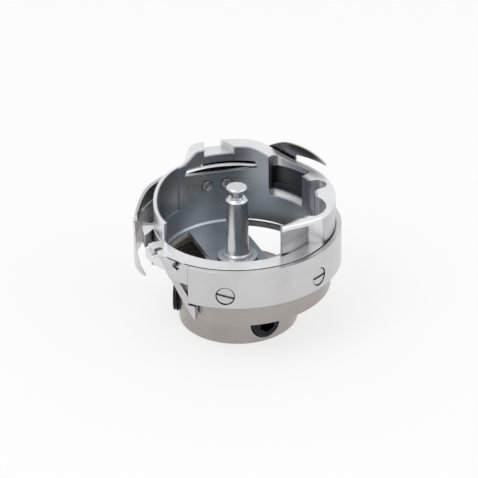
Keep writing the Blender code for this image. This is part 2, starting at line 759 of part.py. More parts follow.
def make_centre_stud():
    collar_top = BOWL_FLOOR + 1.0
    foot = BOWL_FLOOR + GAP
    rim = STUD_TOP - HEAD_DOME - HEAD_RIM
    return turned("centre_stud", [
        (0.0, STUD_TOP), (0.45 * STUD_HEAD, STUD_TOP - 0.1), (0.8 * STUD_HEAD, STUD_TOP - 0.3),
        (STUD_HEAD, STUD_TOP - HEAD_DOME), (STUD_HEAD, rim), (STUD_HEAD - EDGE, rim - EDGE),
        (STUD_NECK, rim - 0.2), (STUD_NECK, STUD_SHOULDER), (STUD_RADIUS - 0.5, STUD_SHOULDER),
        (STUD_RADIUS, STUD_SHOULDER - 0.45), (STUD_RADIUS, collar_top + 0.6),
        (STUD_RADIUS + 0.2, collar_top + 0.2), (COLLAR_RADIUS, collar_top), (COLLAR_RADIUS, foot + 0.3),
        (FOOT_RADIUS, foot + 0.2), (FOOT_RADIUS, foot), (RIVET_SHANK, foot),
        (RIVET_SHANK, BOWL_BOTTOM - GAP), (RIVET_HEAD, BOWL_BOTTOM - GAP), (RIVET_HEAD, RIVET_BOTTOM),
        (0.0, RIVET_BOTTOM)], closed=False, steps=32)


def make_leaf_spring():
    leaf = arc_loft("case_leaf_spring", arc_angles(LEAF_START, LEAF_END), leaf_section)
    for angle in LEAF_SCREW_ANGLES:
        cut(leaf, rod("hole", LEAF_HOLE, BOWL_INNER, CUP_RADIUS, radial_frame(angle, LEAF_SCREW_HEIGHT)))
    return leaf


def axis_empty(name, parent=None):
    """Empty on the hook axis that carries the pieces turning about it."""
    empty = bpy.data.objects.new(name, None)
    empty.parent = parent
    parts.objects.link(empty)
    return empty


def place(obj, finish, parent, frame=Matrix.Identity(4)):
    """Scale to metres, set in a frame under its parent, own material, smooth shading."""
    obj.data.transform(Matrix.Scale(MM, 4))
    obj.parent = parent
    obj.location = frame.translation * MM
    obj.rotation_euler = frame.to_euler()
    colour, roughness, metallic = finish
    material = bpy.data.materials.new(obj.name + "_finish")
    material.use_nodes = True
    shader = material.node_tree.nodes["Principled BSDF"]
    shader.inputs["Base Color"].default_value = (*colour, 1.0)
    shader.inputs["Roughness"].default_value = roughness
    shader.inputs["Metallic"].default_value = metallic
    obj.data.materials.clear()
    obj.data.materials.append(material)
    obj.data.shade_smooth()
    obj.data.set_sharp_from_angle(angle=math.radians(30.0))


for old_object in list(bpy.data.objects):
    bpy.data.objects.remove(old_object)
parts = bpy.data.collections.new("rotary_hook")
bpy.context.scene.collection.children.link(parts)

BRIGHT_STEEL = ((0.62, 0.62, 0.63), 0.22, 1.0)
BODY_STEEL = ((0.40, 0.37, 0.35), 0.35, 1.0)
BOWL_STEEL = ((0.50, 0.52, 0.54), 0.30, 1.0)
BLACK_STEEL = ((0.02, 0.02, 0.02), 0.40, 1.0)
SPRING_STEEL = ((0.10, 0.105, 0.12), 0.30, 1.0)

hook_axis = axis_empty("hook_axis")
bowl_axis = axis_empty("bowl_axis", hook_axis)

# Hook, with the pieces fastened to it
place(make_hook_body(), BODY_STEEL, hook_axis)
place(make_gib(), BRIGHT_STEEL, hook_axis)
place(make_thread_guard(), BRIGHT_STEEL, hook_axis)
place(make_needle_guard(), BRIGHT_STEEL, hook_axis)
race_seat = SCREW_SEAT + GAP
for number, (turn, roll) in enumerate(zip(GIB_SCREW_ANGLES, GIB_SLOT_ROLLS), 1):
    place(slotted_screw(f"gib_screw_{number}", **SCREW), BRIGHT_STEEL, hook_axis,
          radial_frame(turn, SCREW_HEIGHT, race_seat, roll))
for number, (turn, roll) in enumerate(zip(GUARD_SCREW_ANGLES, GUARD_SLOT_ROLLS), 1):
    place(slotted_screw(f"thread_guard_screw_{number}", **SCREW), BRIGHT_STEEL, hook_axis,
          radial_frame(turn, SCREW_HEIGHT, race_seat, roll))
for number, (turn, out) in enumerate(zip(SET_SCREW_ANGLES, SET_SCREW_OUTS), 1):
    place(set_screw(f"set_screw_{number}"), BLACK_STEEL, hook_axis,
          radial_frame(turn, SET_SCREW_HEIGHT, out))

# Bobbin case base, with the pieces fastened to it
place(make_bobbin_case_base(), BOWL_STEEL, bowl_axis)
place(make_centre_stud(), BRIGHT_STEEL, bowl_axis)
place(make_leaf_spring(), SPRING_STEEL, bowl_axis)
for number, (turn, roll) in enumerate(zip(LEAF_SCREW_ANGLES, LEAF_SLOT_ROLLS), 1):
    place(slotted_screw(f"leaf_screw_{number}", **LEAF_SCREW), BRIGHT_STEEL, bowl_axis,
          radial_frame(turn, LEAF_SCREW_HEIGHT, LEAF_SEAT - GAP, roll, inward=True))
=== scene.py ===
"""Rotary sewing hook with its bobbin case base: finely cut pieces, steel finishes, studio and camera.

Shapes are made in millimetres and degrees, and dress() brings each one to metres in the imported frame.
The hook axis is +Z, the hub stands on z = 0, and angles run counterclockwise from +X.
"""
import json
import math

import bmesh
import bpy
from mathutils import Matrix, Vector


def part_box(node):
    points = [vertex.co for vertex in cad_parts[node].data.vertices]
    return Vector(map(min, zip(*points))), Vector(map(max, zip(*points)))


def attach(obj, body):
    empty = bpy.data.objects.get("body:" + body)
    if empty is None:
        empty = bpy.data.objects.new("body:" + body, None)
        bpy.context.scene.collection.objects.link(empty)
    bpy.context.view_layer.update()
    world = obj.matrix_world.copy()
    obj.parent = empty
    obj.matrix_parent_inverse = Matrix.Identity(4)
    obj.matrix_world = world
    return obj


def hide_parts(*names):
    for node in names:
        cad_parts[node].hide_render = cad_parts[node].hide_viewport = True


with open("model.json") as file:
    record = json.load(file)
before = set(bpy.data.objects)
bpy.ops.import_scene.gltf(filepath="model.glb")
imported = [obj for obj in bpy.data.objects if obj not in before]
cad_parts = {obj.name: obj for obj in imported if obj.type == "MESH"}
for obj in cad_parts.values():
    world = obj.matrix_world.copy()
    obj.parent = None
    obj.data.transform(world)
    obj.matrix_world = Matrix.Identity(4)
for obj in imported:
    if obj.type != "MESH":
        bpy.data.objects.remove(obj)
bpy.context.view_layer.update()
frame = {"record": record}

record = frame["record"]
body_of_node = {node: body for body, nodes in record["behaviour"]["bodies"].items() for node in nodes}

MM = 0.001
GAP = 0.3
EDGE = 0.15
OVER = 1.0
ARC_STEP = 2.0
SHARP_ANGLE = 28.0
HOLE_SIDES = 48
BEYOND = 25.0
HIGHEST = 32.0

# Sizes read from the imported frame
HOOK_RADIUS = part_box("hook_gib")[1].x / MM
BAND_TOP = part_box("hook_gib")[1].z / MM
BAND_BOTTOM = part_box("hook_gib")[0].z / MM
BACK_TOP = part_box("bobbin_case_base")[1].z / MM
BOWL_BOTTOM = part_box("bobbin_case_base")[0].z / MM
GUARD_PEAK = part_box("thread_guard")[1].z / MM
STUD_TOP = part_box("centre_stud")[1].z / MM
RIVET_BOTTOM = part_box("centre_stud")[0].z / MM
LEAF_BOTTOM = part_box("case_leaf_spring")[0].z / MM

# Hook
HUB_RADIUS = 11.55
HUB_HEIGHT = 8.4
HUB_EDGE = 0.4
BORE_RADIUS = 3.97
CUP_RADIUS = 18.0
CUP_BOTTOM = 8.0
FLOOR_TOP = 9.4

# Race, where the rib of the bobbin case base runs
WALL_INNER = 16.6
LEDGE = 17.4
SEGMENT_LEDGE = 17.45
GROOVE_RADIUS = 19.6
LIP_RADIUS = 18.95
LIP_BOTTOM = 19.8
CROWN_INNER = 19.15
CROWN_TOP = 23.8
CROWN_EASE = 150.0
CROWN_LOW = 22.0
CROWN_END_TOP = 17.6
CROWN_SHELL = 19.5
CROWN_LEAN = 0.3
CROWN_CHAMFER = 0.35

# Angles round the hook
TOE_START = -139.5
GIB_START = -118.0
GIB_END = 46.0
GUARD_START = 47.0
GUARD_END = 110.0
CROWN_START = 111.0
CROWN_FALL = 176.0
CROWN_END = 188.0
OPEN_START = 40.0
OPEN_END = 98.0
THROAT_START = 160.0

# Toe at the band's left end, and the slanted edge of the throat below it
TOE_BOTTOM = 16.8
TOE_FOOT = 16.8
TOE_SEAM = 0.06
TOE_NOTCH = {"angle": -125.5, "half": 0.75, "floor": 19.2}
SLANT_MIDDLE = -127.0
SLANT_INNER = 12.2
SLANT_TOP = (-4.16, 21.5)
SLANT_FOOT = (5.98, 6.8)

# Beak, the blade that runs from the crown to the hook point
BEAK_ROOT = 172.0
BEAK_FALL = 180.0
BEAK_TIP = 207.3
BEAK_RADIUS = HOOK_RADIUS - 0.05
BEAK_TOPS = (20.8, 14.6)
BEAK_FEET = (13.0, 14.1)
BEAK_THICK = (0.40, 0.30)

# Thread guard and its pointed blade
BLADE_TIP = 28.0
BLADE_ROOT = 56.0
BLADE_FEET = (26.95, 27.6)
BLADE_FALL = 1.2
BLADE_THINNING = 0.35
GUARD_WALL_END = 53.0
GUARD_SHOULDER = 26.7
GUARD_SHOULDER_ANGLE = 80.0
# Radius inside which the blade's inner face is painted with shade, and the patch of painted shade at the
# guard's end
GUARD_SHADE_RADIUS = 19.45
GUARD_SHADE_PATCH = {"angles": (100.0, 112.0), "top": 25.4}

# Needle guard
GUARD_OUTER = 18.7
GUARD_LIP = 19.8
GUARD_LIP_WIDTH = 2.0
GUARD_LIP_END = -114.2
GUARD_HEIGHTS = (8.8, 16.7)
GUARD_SEAM = 0.3
GUARD_TAB_END = -104.0

# Bobbin case base
BOWL_INNER = 14.9
BOWL_OUTER = 16.2
BOWL_FLOOR = 13.0
FLOOR_FILLET = 0.4
RIB_RADIUS = 19.25
RIB_TOP = 19.5
RING_RADIUS = 18.6
RING_INNER = 15.45
RIB_END = 74.0
TOOTH_START = 182.0
TOOTH_END = 187.0
TOOTH_POINT = 198.0
TOOTH_RADIUS = 18.2
RIB_START = 205.0
RING_NOTCH = {"angle": 214.0, "half": 0.55, "floor": 18.9}
UPPER_OUTER = 15.95
PANEL_OUTER = 15.6
PANEL_END = 13.1
BLANK_INNER = 14.0
FLANGE_RADIUS = 18.85
ARM_TIP = -57.5
ARM_ROOT = -20.0
ARM_EDGE = 15.7
ARM_BOTTOM = 25.3
SIDE_END = 68.0
FLANGE_END = 131.0
LEFT_END = 210.0
LEFT_CREST = 27.25
LEFT_START = 140.0
LEFT_FALL_END = 205.0
BACK_RISE = (50.0, 84.0)
BACK_FALL = (119.0, 132.0)
LEFT_TOP = 24.8
SIDE_TOP = 26.2
BRIDGE_ANGLE = 111.0
BRIDGE_HALF = 5.2
LEFT_OPENING = 14.0
RIGHT_OPENING = 14.7
SIDE_OPENING = (184.0, 240.0)
RIVET_HOLE = 1.7
SHADE_RADIUS = 15.4
# Start of the patch of painted shade on the right side wall
SIDE_SHADE_START = ARM_ROOT - 10.0

# Openings in the bowl's wall
WINDOW_START = 32.0
WINDOW_END = 65.0
WINDOW_TOP = 24.8
WINDOW_LIP = 17.3
WINDOW_WALL = 17.7
WINDOW_ROUND = 1.5
WINDOW_ARCH = 2.4
SILL = 19.2
NEEDLE_POCKET = {"angle": 15.7, "reach": 17.85, "radius": 1.85, "flare": 1.9}
THREAD_POCKET = {"x": 11.75, "y": -4.5, "radius": 5.1, "side": -7.4}
SLOT_START = 74.5
SLOT_END = 132.0
SLOT_TOP = 26.15
SLOT_SAG = 23.9
SLOT_END_LOW = 24.8
SLOT_ROUNDS = (0.6, 1.2)
NOTCH_FLOOR = 27.7
NOTCH_OUTLINE = ((-6.25, 12.0), (-6.25, 21.0), (-4.4, 21.0), (-3.3, 18.9), (-0.8, 15.8), (1.3, 12.0))

# Centre stud
STUD_RADIUS = 2.15
STUD_SHOULDER = 25.85
STUD_NECK = 1.15
STUD_HEAD = 2.05
HEAD_DOME = 0.65
HEAD_RIM = 0.2
COLLAR_RADIUS = 2.9
FOOT_RADIUS = 3.9
RIVET_SHANK = 1.4
RIVET_HEAD = 2.6

# Screws of the race segments
SCREW_HEIGHT = 15.46
GIB_SCREW_ANGLES = (-97.0, -39.8, 17.4)
GIB_SLOT_ROLLS = (-14.0, 0.0, 0.0)
GUARD_SCREW_ANGLES = (62.0, 96.0)
GUARD_SLOT_ROLLS = (35.0, 70.0)
SCREW_HOLE = 1.2
SCREW_SEAT = 18.75
SCREW_ROOM = 0.17
SCREW = {"head": 1.66, "height": 0.85, "shank": 0.9, "length": 2.15}

# Set screws of the hub
SET_SCREW_ANGLES = (-63.0, 57.0, 177.0)
SET_SCREW_HEIGHT = 4.0
SET_SCREW_RADIUS = 2.9
SET_SCREW_LENGTH = 6.0
SET_SCREW_OUTS = (12.1, 12.1, 12.6)
SET_SCREW_CHAMFER = 0.4
SET_SCREW_POINT = 0.8
THREAD_PITCH = 0.7
THREAD_DEPTH = 0.3
SOCKET_RADIUS = 1.75
SOCKET_DEPTH = 2.6

# Leaf spring behind the slot, and its screws
LEAF_RADII = (16.3, 16.8)
LEAF_TOP = SLOT_TOP - 1.4
LEAF_GROUND = 0.4
LEAF_START = 74.5
LEAF_END = 132.0
LEAF_SCREW_ANGLES = (113.0, 97.3)
LEAF_SLOT_ROLLS = (55.0, 80.0)
LEAF_SCREW_HEIGHT = 21.3
LEAF_HOLE = 0.85
LEAF_SEAT = 15.45
LEAF_SCREW = {"head": 1.0, "height": 0.55, "shank": 0.55, "length": 1.95}

# Points that count as one, and faces that count as none
CUT_MERGE = 0.001
CUT_SLIVER = 0.0005
EDGE_MERGE = 0.015
BEVEL_MERGE = 0.0005

# Widths of the rounded edges
FINE_EDGE = 0.045
PLAIN_EDGE = 0.05
GUARD_EDGE = 0.1
STUD_EDGE = 0.06
SET_SCREW_EDGE = 0.04
LEAF_SCREW_EDGE = 0.03

# Painted shade in the gaps and recesses, and the soft edge of a patch of painted shade
PAINTED_SHADE = (0.03, 0.028, 0.026)
SHADE_PATCH_EDGE = 0.2


def smooth_step(value, low, high):
    """0 below low, 1 above high, eased between."""
    t = min(1.0, max(0.0, (value - low) / (high - low)))
    return t * t * (3.0 - 2.0 * t)


def blend(value, low, high, first, second):
    """First value up to low, second from high on, eased between."""
    return first + (second - first) * smooth_step(value, low, high)


def mix(ends, along):
    """Straight way from the first of two values to the second."""
    return ends[0] + (ends[1] - ends[0]) * along


def polar(radius, angle):
    """Point at a radius and an angle in the XY plane."""
    return radius * math.cos(math.radians(angle)), radius * math.sin(math.radians(angle))


def arc_angles(start, end):
    """Angles from start to end, at every multiple of ARC_STEP between them."""
    first = math.floor(start / ARC_STEP) + 1
    last = math.ceil(end / ARC_STEP) - 1
    return [start] + [ARC_STEP * n for n in range(first, last + 1)] + [end]


def new_object(name, mesh):
    """Object in the scene."""
    obj = bpy.data.objects.new(name, mesh)
    bpy.context.scene.collection.objects.link(obj)
    return obj


def bake(obj):
    """Replace an object's modifiers by the mesh they make."""
    depsgraph = bpy.context.evaluated_depsgraph_get()
    mesh = bpy.data.meshes.new_from_object(obj.evaluated_get(depsgraph))
    old = obj.data
    obj.modifiers.clear()
    obj.data = mesh
    bpy.data.meshes.remove(old)


def weld(obj, distance, sliver=0.0):
    """Merge points that lie within a distance of each other, and drop faces as narrow as a sliver."""
    shape = bmesh.new()
    shape.from_mesh(obj.data)
    bmesh.ops.remove_doubles(shape, verts=shape.verts, dist=distance)
    if sliver:
        bmesh.ops.dissolve_degenerate(shape, edges=shape.edges, dist=sliver)
    shape.to_mesh(obj.data)
    shape.free()


def combine(obj, other, operation):
    """Boolean of two objects, kept in the first."""
    modifier = obj.modifiers.new(operation, "BOOLEAN")
    modifier.operation = operation
    modifier.solver = "MANIFOLD"
    modifier.object = other
    bake(obj)
    weld(obj, CUT_MERGE, CUT_SLIVER)
    mesh = other.data
    bpy.data.objects.remove(other)
    bpy.data.meshes.remove(mesh)


def cut(obj, *cutters):
    """Take the cutters away from an object, one after the other."""
    for cutter in cutters:
        combine(obj, cutter, "DIFFERENCE")


def join(obj, *others):
    """Grow an object together with others."""
    for other in others:
        combine(obj, other, "UNION")


def turned(name, profile, closed=True, steps=int(360 / ARC_STEP)):
    """Piece turned round Z from a profile of (radius, height), top to bottom outside.

    A closed profile makes a ring; an open one starts and ends on the axis.
    """
    mesh = bpy.data.meshes.new(name)
    count = len(profile)
    edges = [(n, n + 1) for n in range(count - 1)]
    if closed:
        edges.append((count - 1, 0))
    mesh.from_pydata([(radius, 0.0, height) for radius, height in profile], edges, [])
    obj = new_object(name, mesh)
    screw = obj.modifiers.new("turn", "SCREW")
    screw.steps = steps
    screw.render_steps = screw.steps
    screw.use_merge_vertices = True
    screw.merge_threshold = 0.0001
    bake(obj)
    return obj


def arc_loft(name, angles, section):
    """Solid swept along angles round Z; section(angle) gives its (radius, height) loop.

    The loop runs down its outer side, and its form may change along the way.
    """
    mesh = bpy.data.meshes.new(name)
    shape = bmesh.new()
    loops = []
    for angle in angles:
        loop = []
        for radius, height in section(angle):
            loop.append(shape.verts.new((*polar(radius, angle), height)))
        loops.append(loop)
    count = len(loops[0])
    for near, far in zip(loops, loops[1:]):
        for n in range(count):
            m = (n + 1) % count
            shape.faces.new((near[n], near[m], far[m], far[n]))
    shape.faces.new(loops[0][::-1])
    shape.faces.new(loops[-1])
    bmesh.ops.recalc_face_normals(shape, faces=shape.faces)
    shape.to_mesh(mesh)
    shape.free()
    return new_object(name, mesh)


def plate(name, outline, low, high):
    """Flat outline in XY, thick from low to high."""
    curve = bpy.data.curves.new(name, "CURVE")
    curve.dimensions = "2D"
    curve.fill_mode = "BOTH"
    curve.extrude = (high - low) / 2
    spline = curve.splines.new("POLY")
    spline.points.add(len(outline) - 1)
    for point, (x, y) in zip(spline.points, outline):
        point.co = (x, y, 0.0, 1.0)
    spline.use_cyclic_u = True
    drawn = new_object(name + "_outline", curve)
    depsgraph = bpy.context.evaluated_depsgraph_get()
    mesh = bpy.data.meshes.new_from_object(drawn.evaluated_get(depsgraph))
    shape = bmesh.new()
    shape.from_mesh(mesh)
    bmesh.ops.remove_doubles(shape, verts=shape.verts, dist=0.0001)
    bmesh.ops.translate(shape, verts=shape.verts, vec=(0.0, 0.0, (low + high) / 2))
    bmesh.ops.recalc_face_normals(shape, faces=shape.faces)
    shape.to_mesh(mesh)
    shape.free()
    bpy.data.objects.remove(drawn)
    bpy.data.curves.remove(curve)
    return new_object(name, mesh)


def sector(name, inner, outer, start, end, low, high):
    """Part of a ring between two radii, two angles and two heights."""
    angles = arc_angles(start, end)
    outline = [polar(outer, angle) for angle in angles]
    outline += [polar(inner, angle) for angle in reversed(angles)]
    return plate(name, outline, low, high)


def radial_frame(angle, height, reach=0.0, roll=0.0, inward=False):
    """Frame at a reach from the hook axis, Z pointing away from it or inward, Y up before the roll."""
    place_at = Vector((*polar(reach, angle), height))
    out = Vector((*polar(-1.0 if inward else 1.0, angle), 0.0))
    up = Vector((0.0, 0.0, 1.0))
    matrix = Matrix((up.cross(out), up, out)).transposed().to_4x4()
    matrix.translation = place_at
    return matrix @ Matrix.Rotation(math.radians(roll), 4, "Z")


def rod(name, radius, low, high, matrix=None, sides=HOLE_SIDES):
    """Cylinder along the Z axis of a frame."""
    mesh = bpy.data.meshes.new(name)
    shape = bmesh.new()
    bmesh.ops.create_cone(shape, cap_ends=True, segments=sides, radius1=radius,
                          radius2=radius, depth=high - low)
    bmesh.ops.translate(shape, verts=shape.verts, vec=(0.0, 0.0, (low + high) / 2))
    bmesh.ops.transform(shape, matrix=matrix or Matrix.Identity(4), verts=shape.verts)
    shape.to_mesh(mesh)
    shape.free()
    return new_object(name, mesh)


def block(name, size, centre):
    """Box of the given size about a centre."""
    mesh = bpy.data.meshes.new(name)
    shape = bmesh.new()
    bmesh.ops.create_cube(shape, size=1.0)
    bmesh.ops.scale(shape, verts=shape.verts, vec=size)
    bmesh.ops.translate(shape, verts=shape.verts, vec=centre)
    shape.to_mesh(mesh)
    shape.free()
    return new_object(name, mesh)


def race_section(foot_radius, foot_height, outer=HOOK_RADIUS):
    """Section of a segment that closes the race: foot, groove and lip, under the band's top edge."""
    return [(outer, BAND_TOP), (outer, foot_height), (foot_radius, foot_height),
            (foot_radius, SEGMENT_LEDGE), (GROOVE_RADIUS, SEGMENT_LEDGE), (GROOVE_RADIUS, LIP_BOTTOM),
            (LIP_RADIUS, LIP_BOTTOM), (LIP_RADIUS, BAND_TOP)]


def tall_section(section, top, lean, inner=CROWN_INNER):
    """Race segment with a thin wall standing on its lip, leaning in at the top."""
    outer = section[1][0]
    wall = [(outer - lean, top), (outer, BAND_TOP)]
    return wall + section[1:] + [(inner, BAND_TOP + 0.2), (inner, top)]


def crown_top(angle):
    """Height of the crown's rim, easing down towards the beak."""
    return blend(angle, CROWN_EASE, CROWN_FALL, CROWN_TOP, CROWN_LOW)


def crown_section(angle):
    """Crown, drawing in round the beak's root so that the beak comes out of it."""
    foot = blend(angle, 165.0, 180.0, BAND_BOTTOM, BAND_BOTTOM + 0.5)
    outer = HOOK_RADIUS - blend(angle, 170.0, 182.0, 0.0, 0.12)
    top = crown_top(angle)
    section = tall_section(race_section(WALL_INNER + 0.6, foot, outer), top, CROWN_LEAN)
    return section[:-1] + [(CROWN_INNER, top - CROWN_CHAMFER), (CROWN_INNER + CROWN_CHAMFER, top)]


def crown_foot_section(angle):
    """Space under the crown over the throat, which leaves a shell as thin as the beak."""
    shell = blend(angle, BEAK_ROOT, 184.0, CROWN_SHELL, HOOK_RADIUS - 0.2)
    return wall_section(shell, WALL_INNER - OVER, BAND_BOTTOM - OVER, BAND_TOP + 0.5)


def crown_fall_section(angle):
    """Space above the crown where its rim drops to the beak."""
    rim = blend(angle, CROWN_FALL, CROWN_END, CROWN_LOW, CROWN_END_TOP)
    return wall_section(BEYOND, WALL_INNER - OVER, rim, HIGHEST)


def beak_section(angle):
    """Blade that sweeps down from inside the crown's shell to the point."""
    along = max(0.0, (angle - BEAK_FALL) / (BEAK_TIP - BEAK_FALL))
    high = mix(BEAK_TOPS, 1.0 - (1.0 - along) ** 1.6)
    low = mix(BEAK_FEET, along ** 2)
    return wall_section(BEAK_RADIUS, BEAK_RADIUS - mix(BEAK_THICK, along), low, high)


def screw_holes(obj, angles, seat=False):
    """Radial holes for the race screws, with a seat for the head where one is asked for."""
    for angle in angles:
        matrix = radial_frame(angle, SCREW_HEIGHT)
        cut(obj, rod("hole", SCREW_HOLE, WALL_INNER - OVER, BEYOND, matrix))
        if seat:
            cut(obj, rod("seat", SCREW["head"] + SCREW_ROOM, SCREW_SEAT, BEYOND, matrix))


def slanted_slab(name, shift, far, inner):
    """Slab from the throat's slanted edge, moved by a shift, to far along the band, outside a radius."""
    (top_edge, top), (foot_edge, foot) = SLANT_TOP, SLANT_FOOT
    outline = [(top_edge + shift, top), (foot_edge + shift, foot), (far, foot), (far, top)]
    slab = plate(name, outline, inner, BEYOND)
    slab.data.transform(radial_frame(SLANT_MIDDLE, 0.0))
    return slab


def edge_notch(name, inner, angle, half, floor):
    """U-shaped notch from the band's top edge down to a floor, cut radially outside a radius."""
    bottom = [(x, floor + half + y) for x, y in (polar(half, turn) for turn in range(180, 361, 20))]
    outline = [(-half, BAND_TOP + OVER)] + bottom + [(half, BAND_TOP + OVER)]
    notch = plate(name, outline, inner, BEYOND)
    notch.data.transform(radial_frame(angle, 0.0))
    return notch


def make_hook_body():
    """Cup on its hub, with the toe, the crown and the beak, the openings and the screw holes."""
    cup = turned("hook_body", [
        (CUP_RADIUS, LEDGE), (CUP_RADIUS, CUP_BOTTOM), (HUB_RADIUS, CUP_BOTTOM),
        (HUB_RADIUS, HUB_EDGE), (HUB_RADIUS - HUB_EDGE, 0.0), (BORE_RADIUS + HUB_EDGE, 0.0),
        (BORE_RADIUS, HUB_EDGE), (BORE_RADIUS, FLOOR_TOP), (WALL_INNER - 1.0, FLOOR_TOP),
        (WALL_INNER, FLOOR_TOP + 1.0), (WALL_INNER, LEDGE)])
    below_cup = CUP_BOTTOM - OVER
    clear_of_hub = HUB_RADIUS + 0.1
    # Opening at the back right, down to the hub
    cut(cup, sector("open_wall", clear_of_hub, BEYOND, OPEN_START, OPEN_END, below_cup, BAND_BOTTOM))
    cut(cup, sector("open_floor", BORE_RADIUS + 2.0, clear_of_hub + 2.0, OPEN_START + 2.0,
                    OPEN_END - 2.0, HUB_HEIGHT, BAND_BOTTOM - 0.9))
    # Throat at the left, where the thread loop slips off
    cut(cup, sector("throat", clear_of_hub, BEYOND, THROAT_START, 360.0 + TOE_START, below_cup,
                    LEDGE + 0.6))
    toe = arc_loft("toe", arc_angles(TOE_START, GIB_START - TOE_SEAM),
                   lambda angle: race_section(TOE_FOOT, TOE_BOTTOM))
    cut(toe, edge_notch("toe_notch", CUP_RADIUS, **TOE_NOTCH))
    join(cup, toe)
    cut(cup, slanted_slab("slant", 0.0, -8.0, SLANT_INNER))
    # Crown and beak
    crown = arc_loft("crown", arc_angles(CROWN_START, CROWN_END), crown_section)
    cut(crown, arc_loft("crown_foot", arc_angles(THROAT_START + 1.0, CROWN_END + 2.0), crown_foot_section))
    cut(crown, arc_loft("crown_fall", arc_angles(CROWN_FALL - 2.0, CROWN_END + 2.0), crown_fall_section))
    beak = arc_loft("beak", arc_angles(BEAK_ROOT, BEAK_TIP), beak_section)
    join(cup, crown, beak)
    screw_holes(cup, GIB_SCREW_ANGLES + GUARD_SCREW_ANGLES)
    for angle in SET_SCREW_ANGLES:
        cut(cup, rod("set_hole", SET_SCREW_RADIUS + SCREW_ROOM, BORE_RADIUS - 2.0, HUB_RADIUS + 2.5,
                     radial_frame(angle, SET_SCREW_HEIGHT)))
    return cup


def make_gib():
    """Bright band that closes the race, with room for the needle guard behind it."""
    gib = arc_loft("hook_gib", arc_angles(GIB_START, GIB_END),
                   lambda angle: race_section(CUP_RADIUS + GAP, BAND_BOTTOM))
    cut(gib, sector("guard_room", CUP_RADIUS - 0.5, GUARD_OUTER + GAP, GIB_START - OVER,
                    GUARD_TAB_END + 1.0, BAND_BOTTOM - OVER, TOE_BOTTOM + 0.1))
    screw_holes(gib, GIB_SCREW_ANGLES, seat=True)
    return gib


def blade_along(angle):
    """0 at the root of the thread guard's blade, 1 at its tip."""
    return max(0.0, (BLADE_ROOT - angle) / (BLADE_ROOT - BLADE_TIP))


def guard_top(angle):
    """Rim of the thread guard: up from the crown to the blade's root, and down to its tip."""
    shoulder = blend(angle, BLADE_ROOT + 2.0, GUARD_SHOULDER_ANGLE, GUARD_PEAK, GUARD_SHOULDER)
    rim = blend(angle, GUARD_SHOULDER_ANGLE, GUARD_END, shoulder, CROWN_TOP)
    return rim - BLADE_FALL * blade_along(angle) ** 2


def guard_section(angle):
    """Section of the thread guard, thinner towards the tip of its blade."""
    inner = CROWN_INNER + BLADE_THINNING * blade_along(angle)
    return tall_section(race_section(CUP_RADIUS + GAP, BAND_BOTTOM), guard_top(angle), EDGE, inner)


def under_blade_section(angle):
    """Space between the blade and the gib."""
    return wall_section(BEYOND, WALL_INNER, BAND_TOP + 0.6, mix(BLADE_FEET, blade_along(angle)))


def make_thread_guard():
    """Race segment with a pointed blade that reaches over the gib."""
    guard = arc_loft("thread_guard", arc_angles(BLADE_TIP, GUARD_END), guard_section)
    before_tip = BLADE_TIP - OVER
    cut(guard, arc_loft("under_blade", arc_angles(before_tip, GUARD_WALL_END), under_blade_section))
    cut(guard, sector("gib_room", WALL_INNER, BEYOND, before_tip, GUARD_START, BAND_BOTTOM - OVER,
                      BAND_TOP + 0.7))
    screw_holes(guard, GUARD_SCREW_ANGLES, seat=True)
    return guard


def make_needle_guard():
    """Plate under the gib, with a raised lip along the slanted edge of the throat."""
    low, high = GUARD_HEIGHTS
    guard = arc_loft("needle_guard", arc_angles(SLANT_MIDDLE - 13.0, GUARD_TAB_END),
                     lambda angle: wall_section(GUARD_LIP, CUP_RADIUS + GAP, low, high))
    cut(guard, sector("cup_side", CUP_RADIUS - OVER, BEYOND, GUARD_LIP_END, GUARD_TAB_END + 4.0,
                      low - OVER, BAND_BOTTOM + GAP))
    cut(guard, slanted_slab("slant", 0.0, -16.0, SLANT_INNER))
    cut(guard, slanted_slab("plain_side", GUARD_LIP_WIDTH, 16.0, GUARD_OUTER))
    cut(guard, sector("tab_face", GUARD_OUTER, BEYOND, GIB_START - GUARD_SEAM, GUARD_TAB_END + 5.0,
                      BAND_BOTTOM - 0.6, high + OVER))
    return guard


def slotted_screw(name, head, height, shank, length):
    """Screw along Z: slightly domed head from the seat up, shank below it, slot across the head."""
    dome = 0.08 * head
    crown = [(head * math.sin(math.radians(turn)), height - dome * (1.0 - math.cos(math.radians(turn))))
             for turn in range(0, 91, 15)]
    screw = turned(name, crown + [(head, 0.0), (shank, 0.0), (shank, -length), (0.0, -length)],
                   closed=False, steps=HOLE_SIDES)
    slot_depth = 0.6 * height
    cut(screw, block("slot", (2 * head + OVER, 0.26 * head, 2 * slot_depth), (0.0, 0.0, height)))
    return screw


def thread_radius(turn, height):
    """Radius of the set screw's thread at a share of a turn and a height, a V form along a helix."""
    phase = (height / THREAD_PITCH - turn) % 1.0
    flank = abs(2.0 * phase - 1.0)
    return SET_SCREW_RADIUS - THREAD_DEPTH * min(1.0, 1.25 * (1.0 - flank))


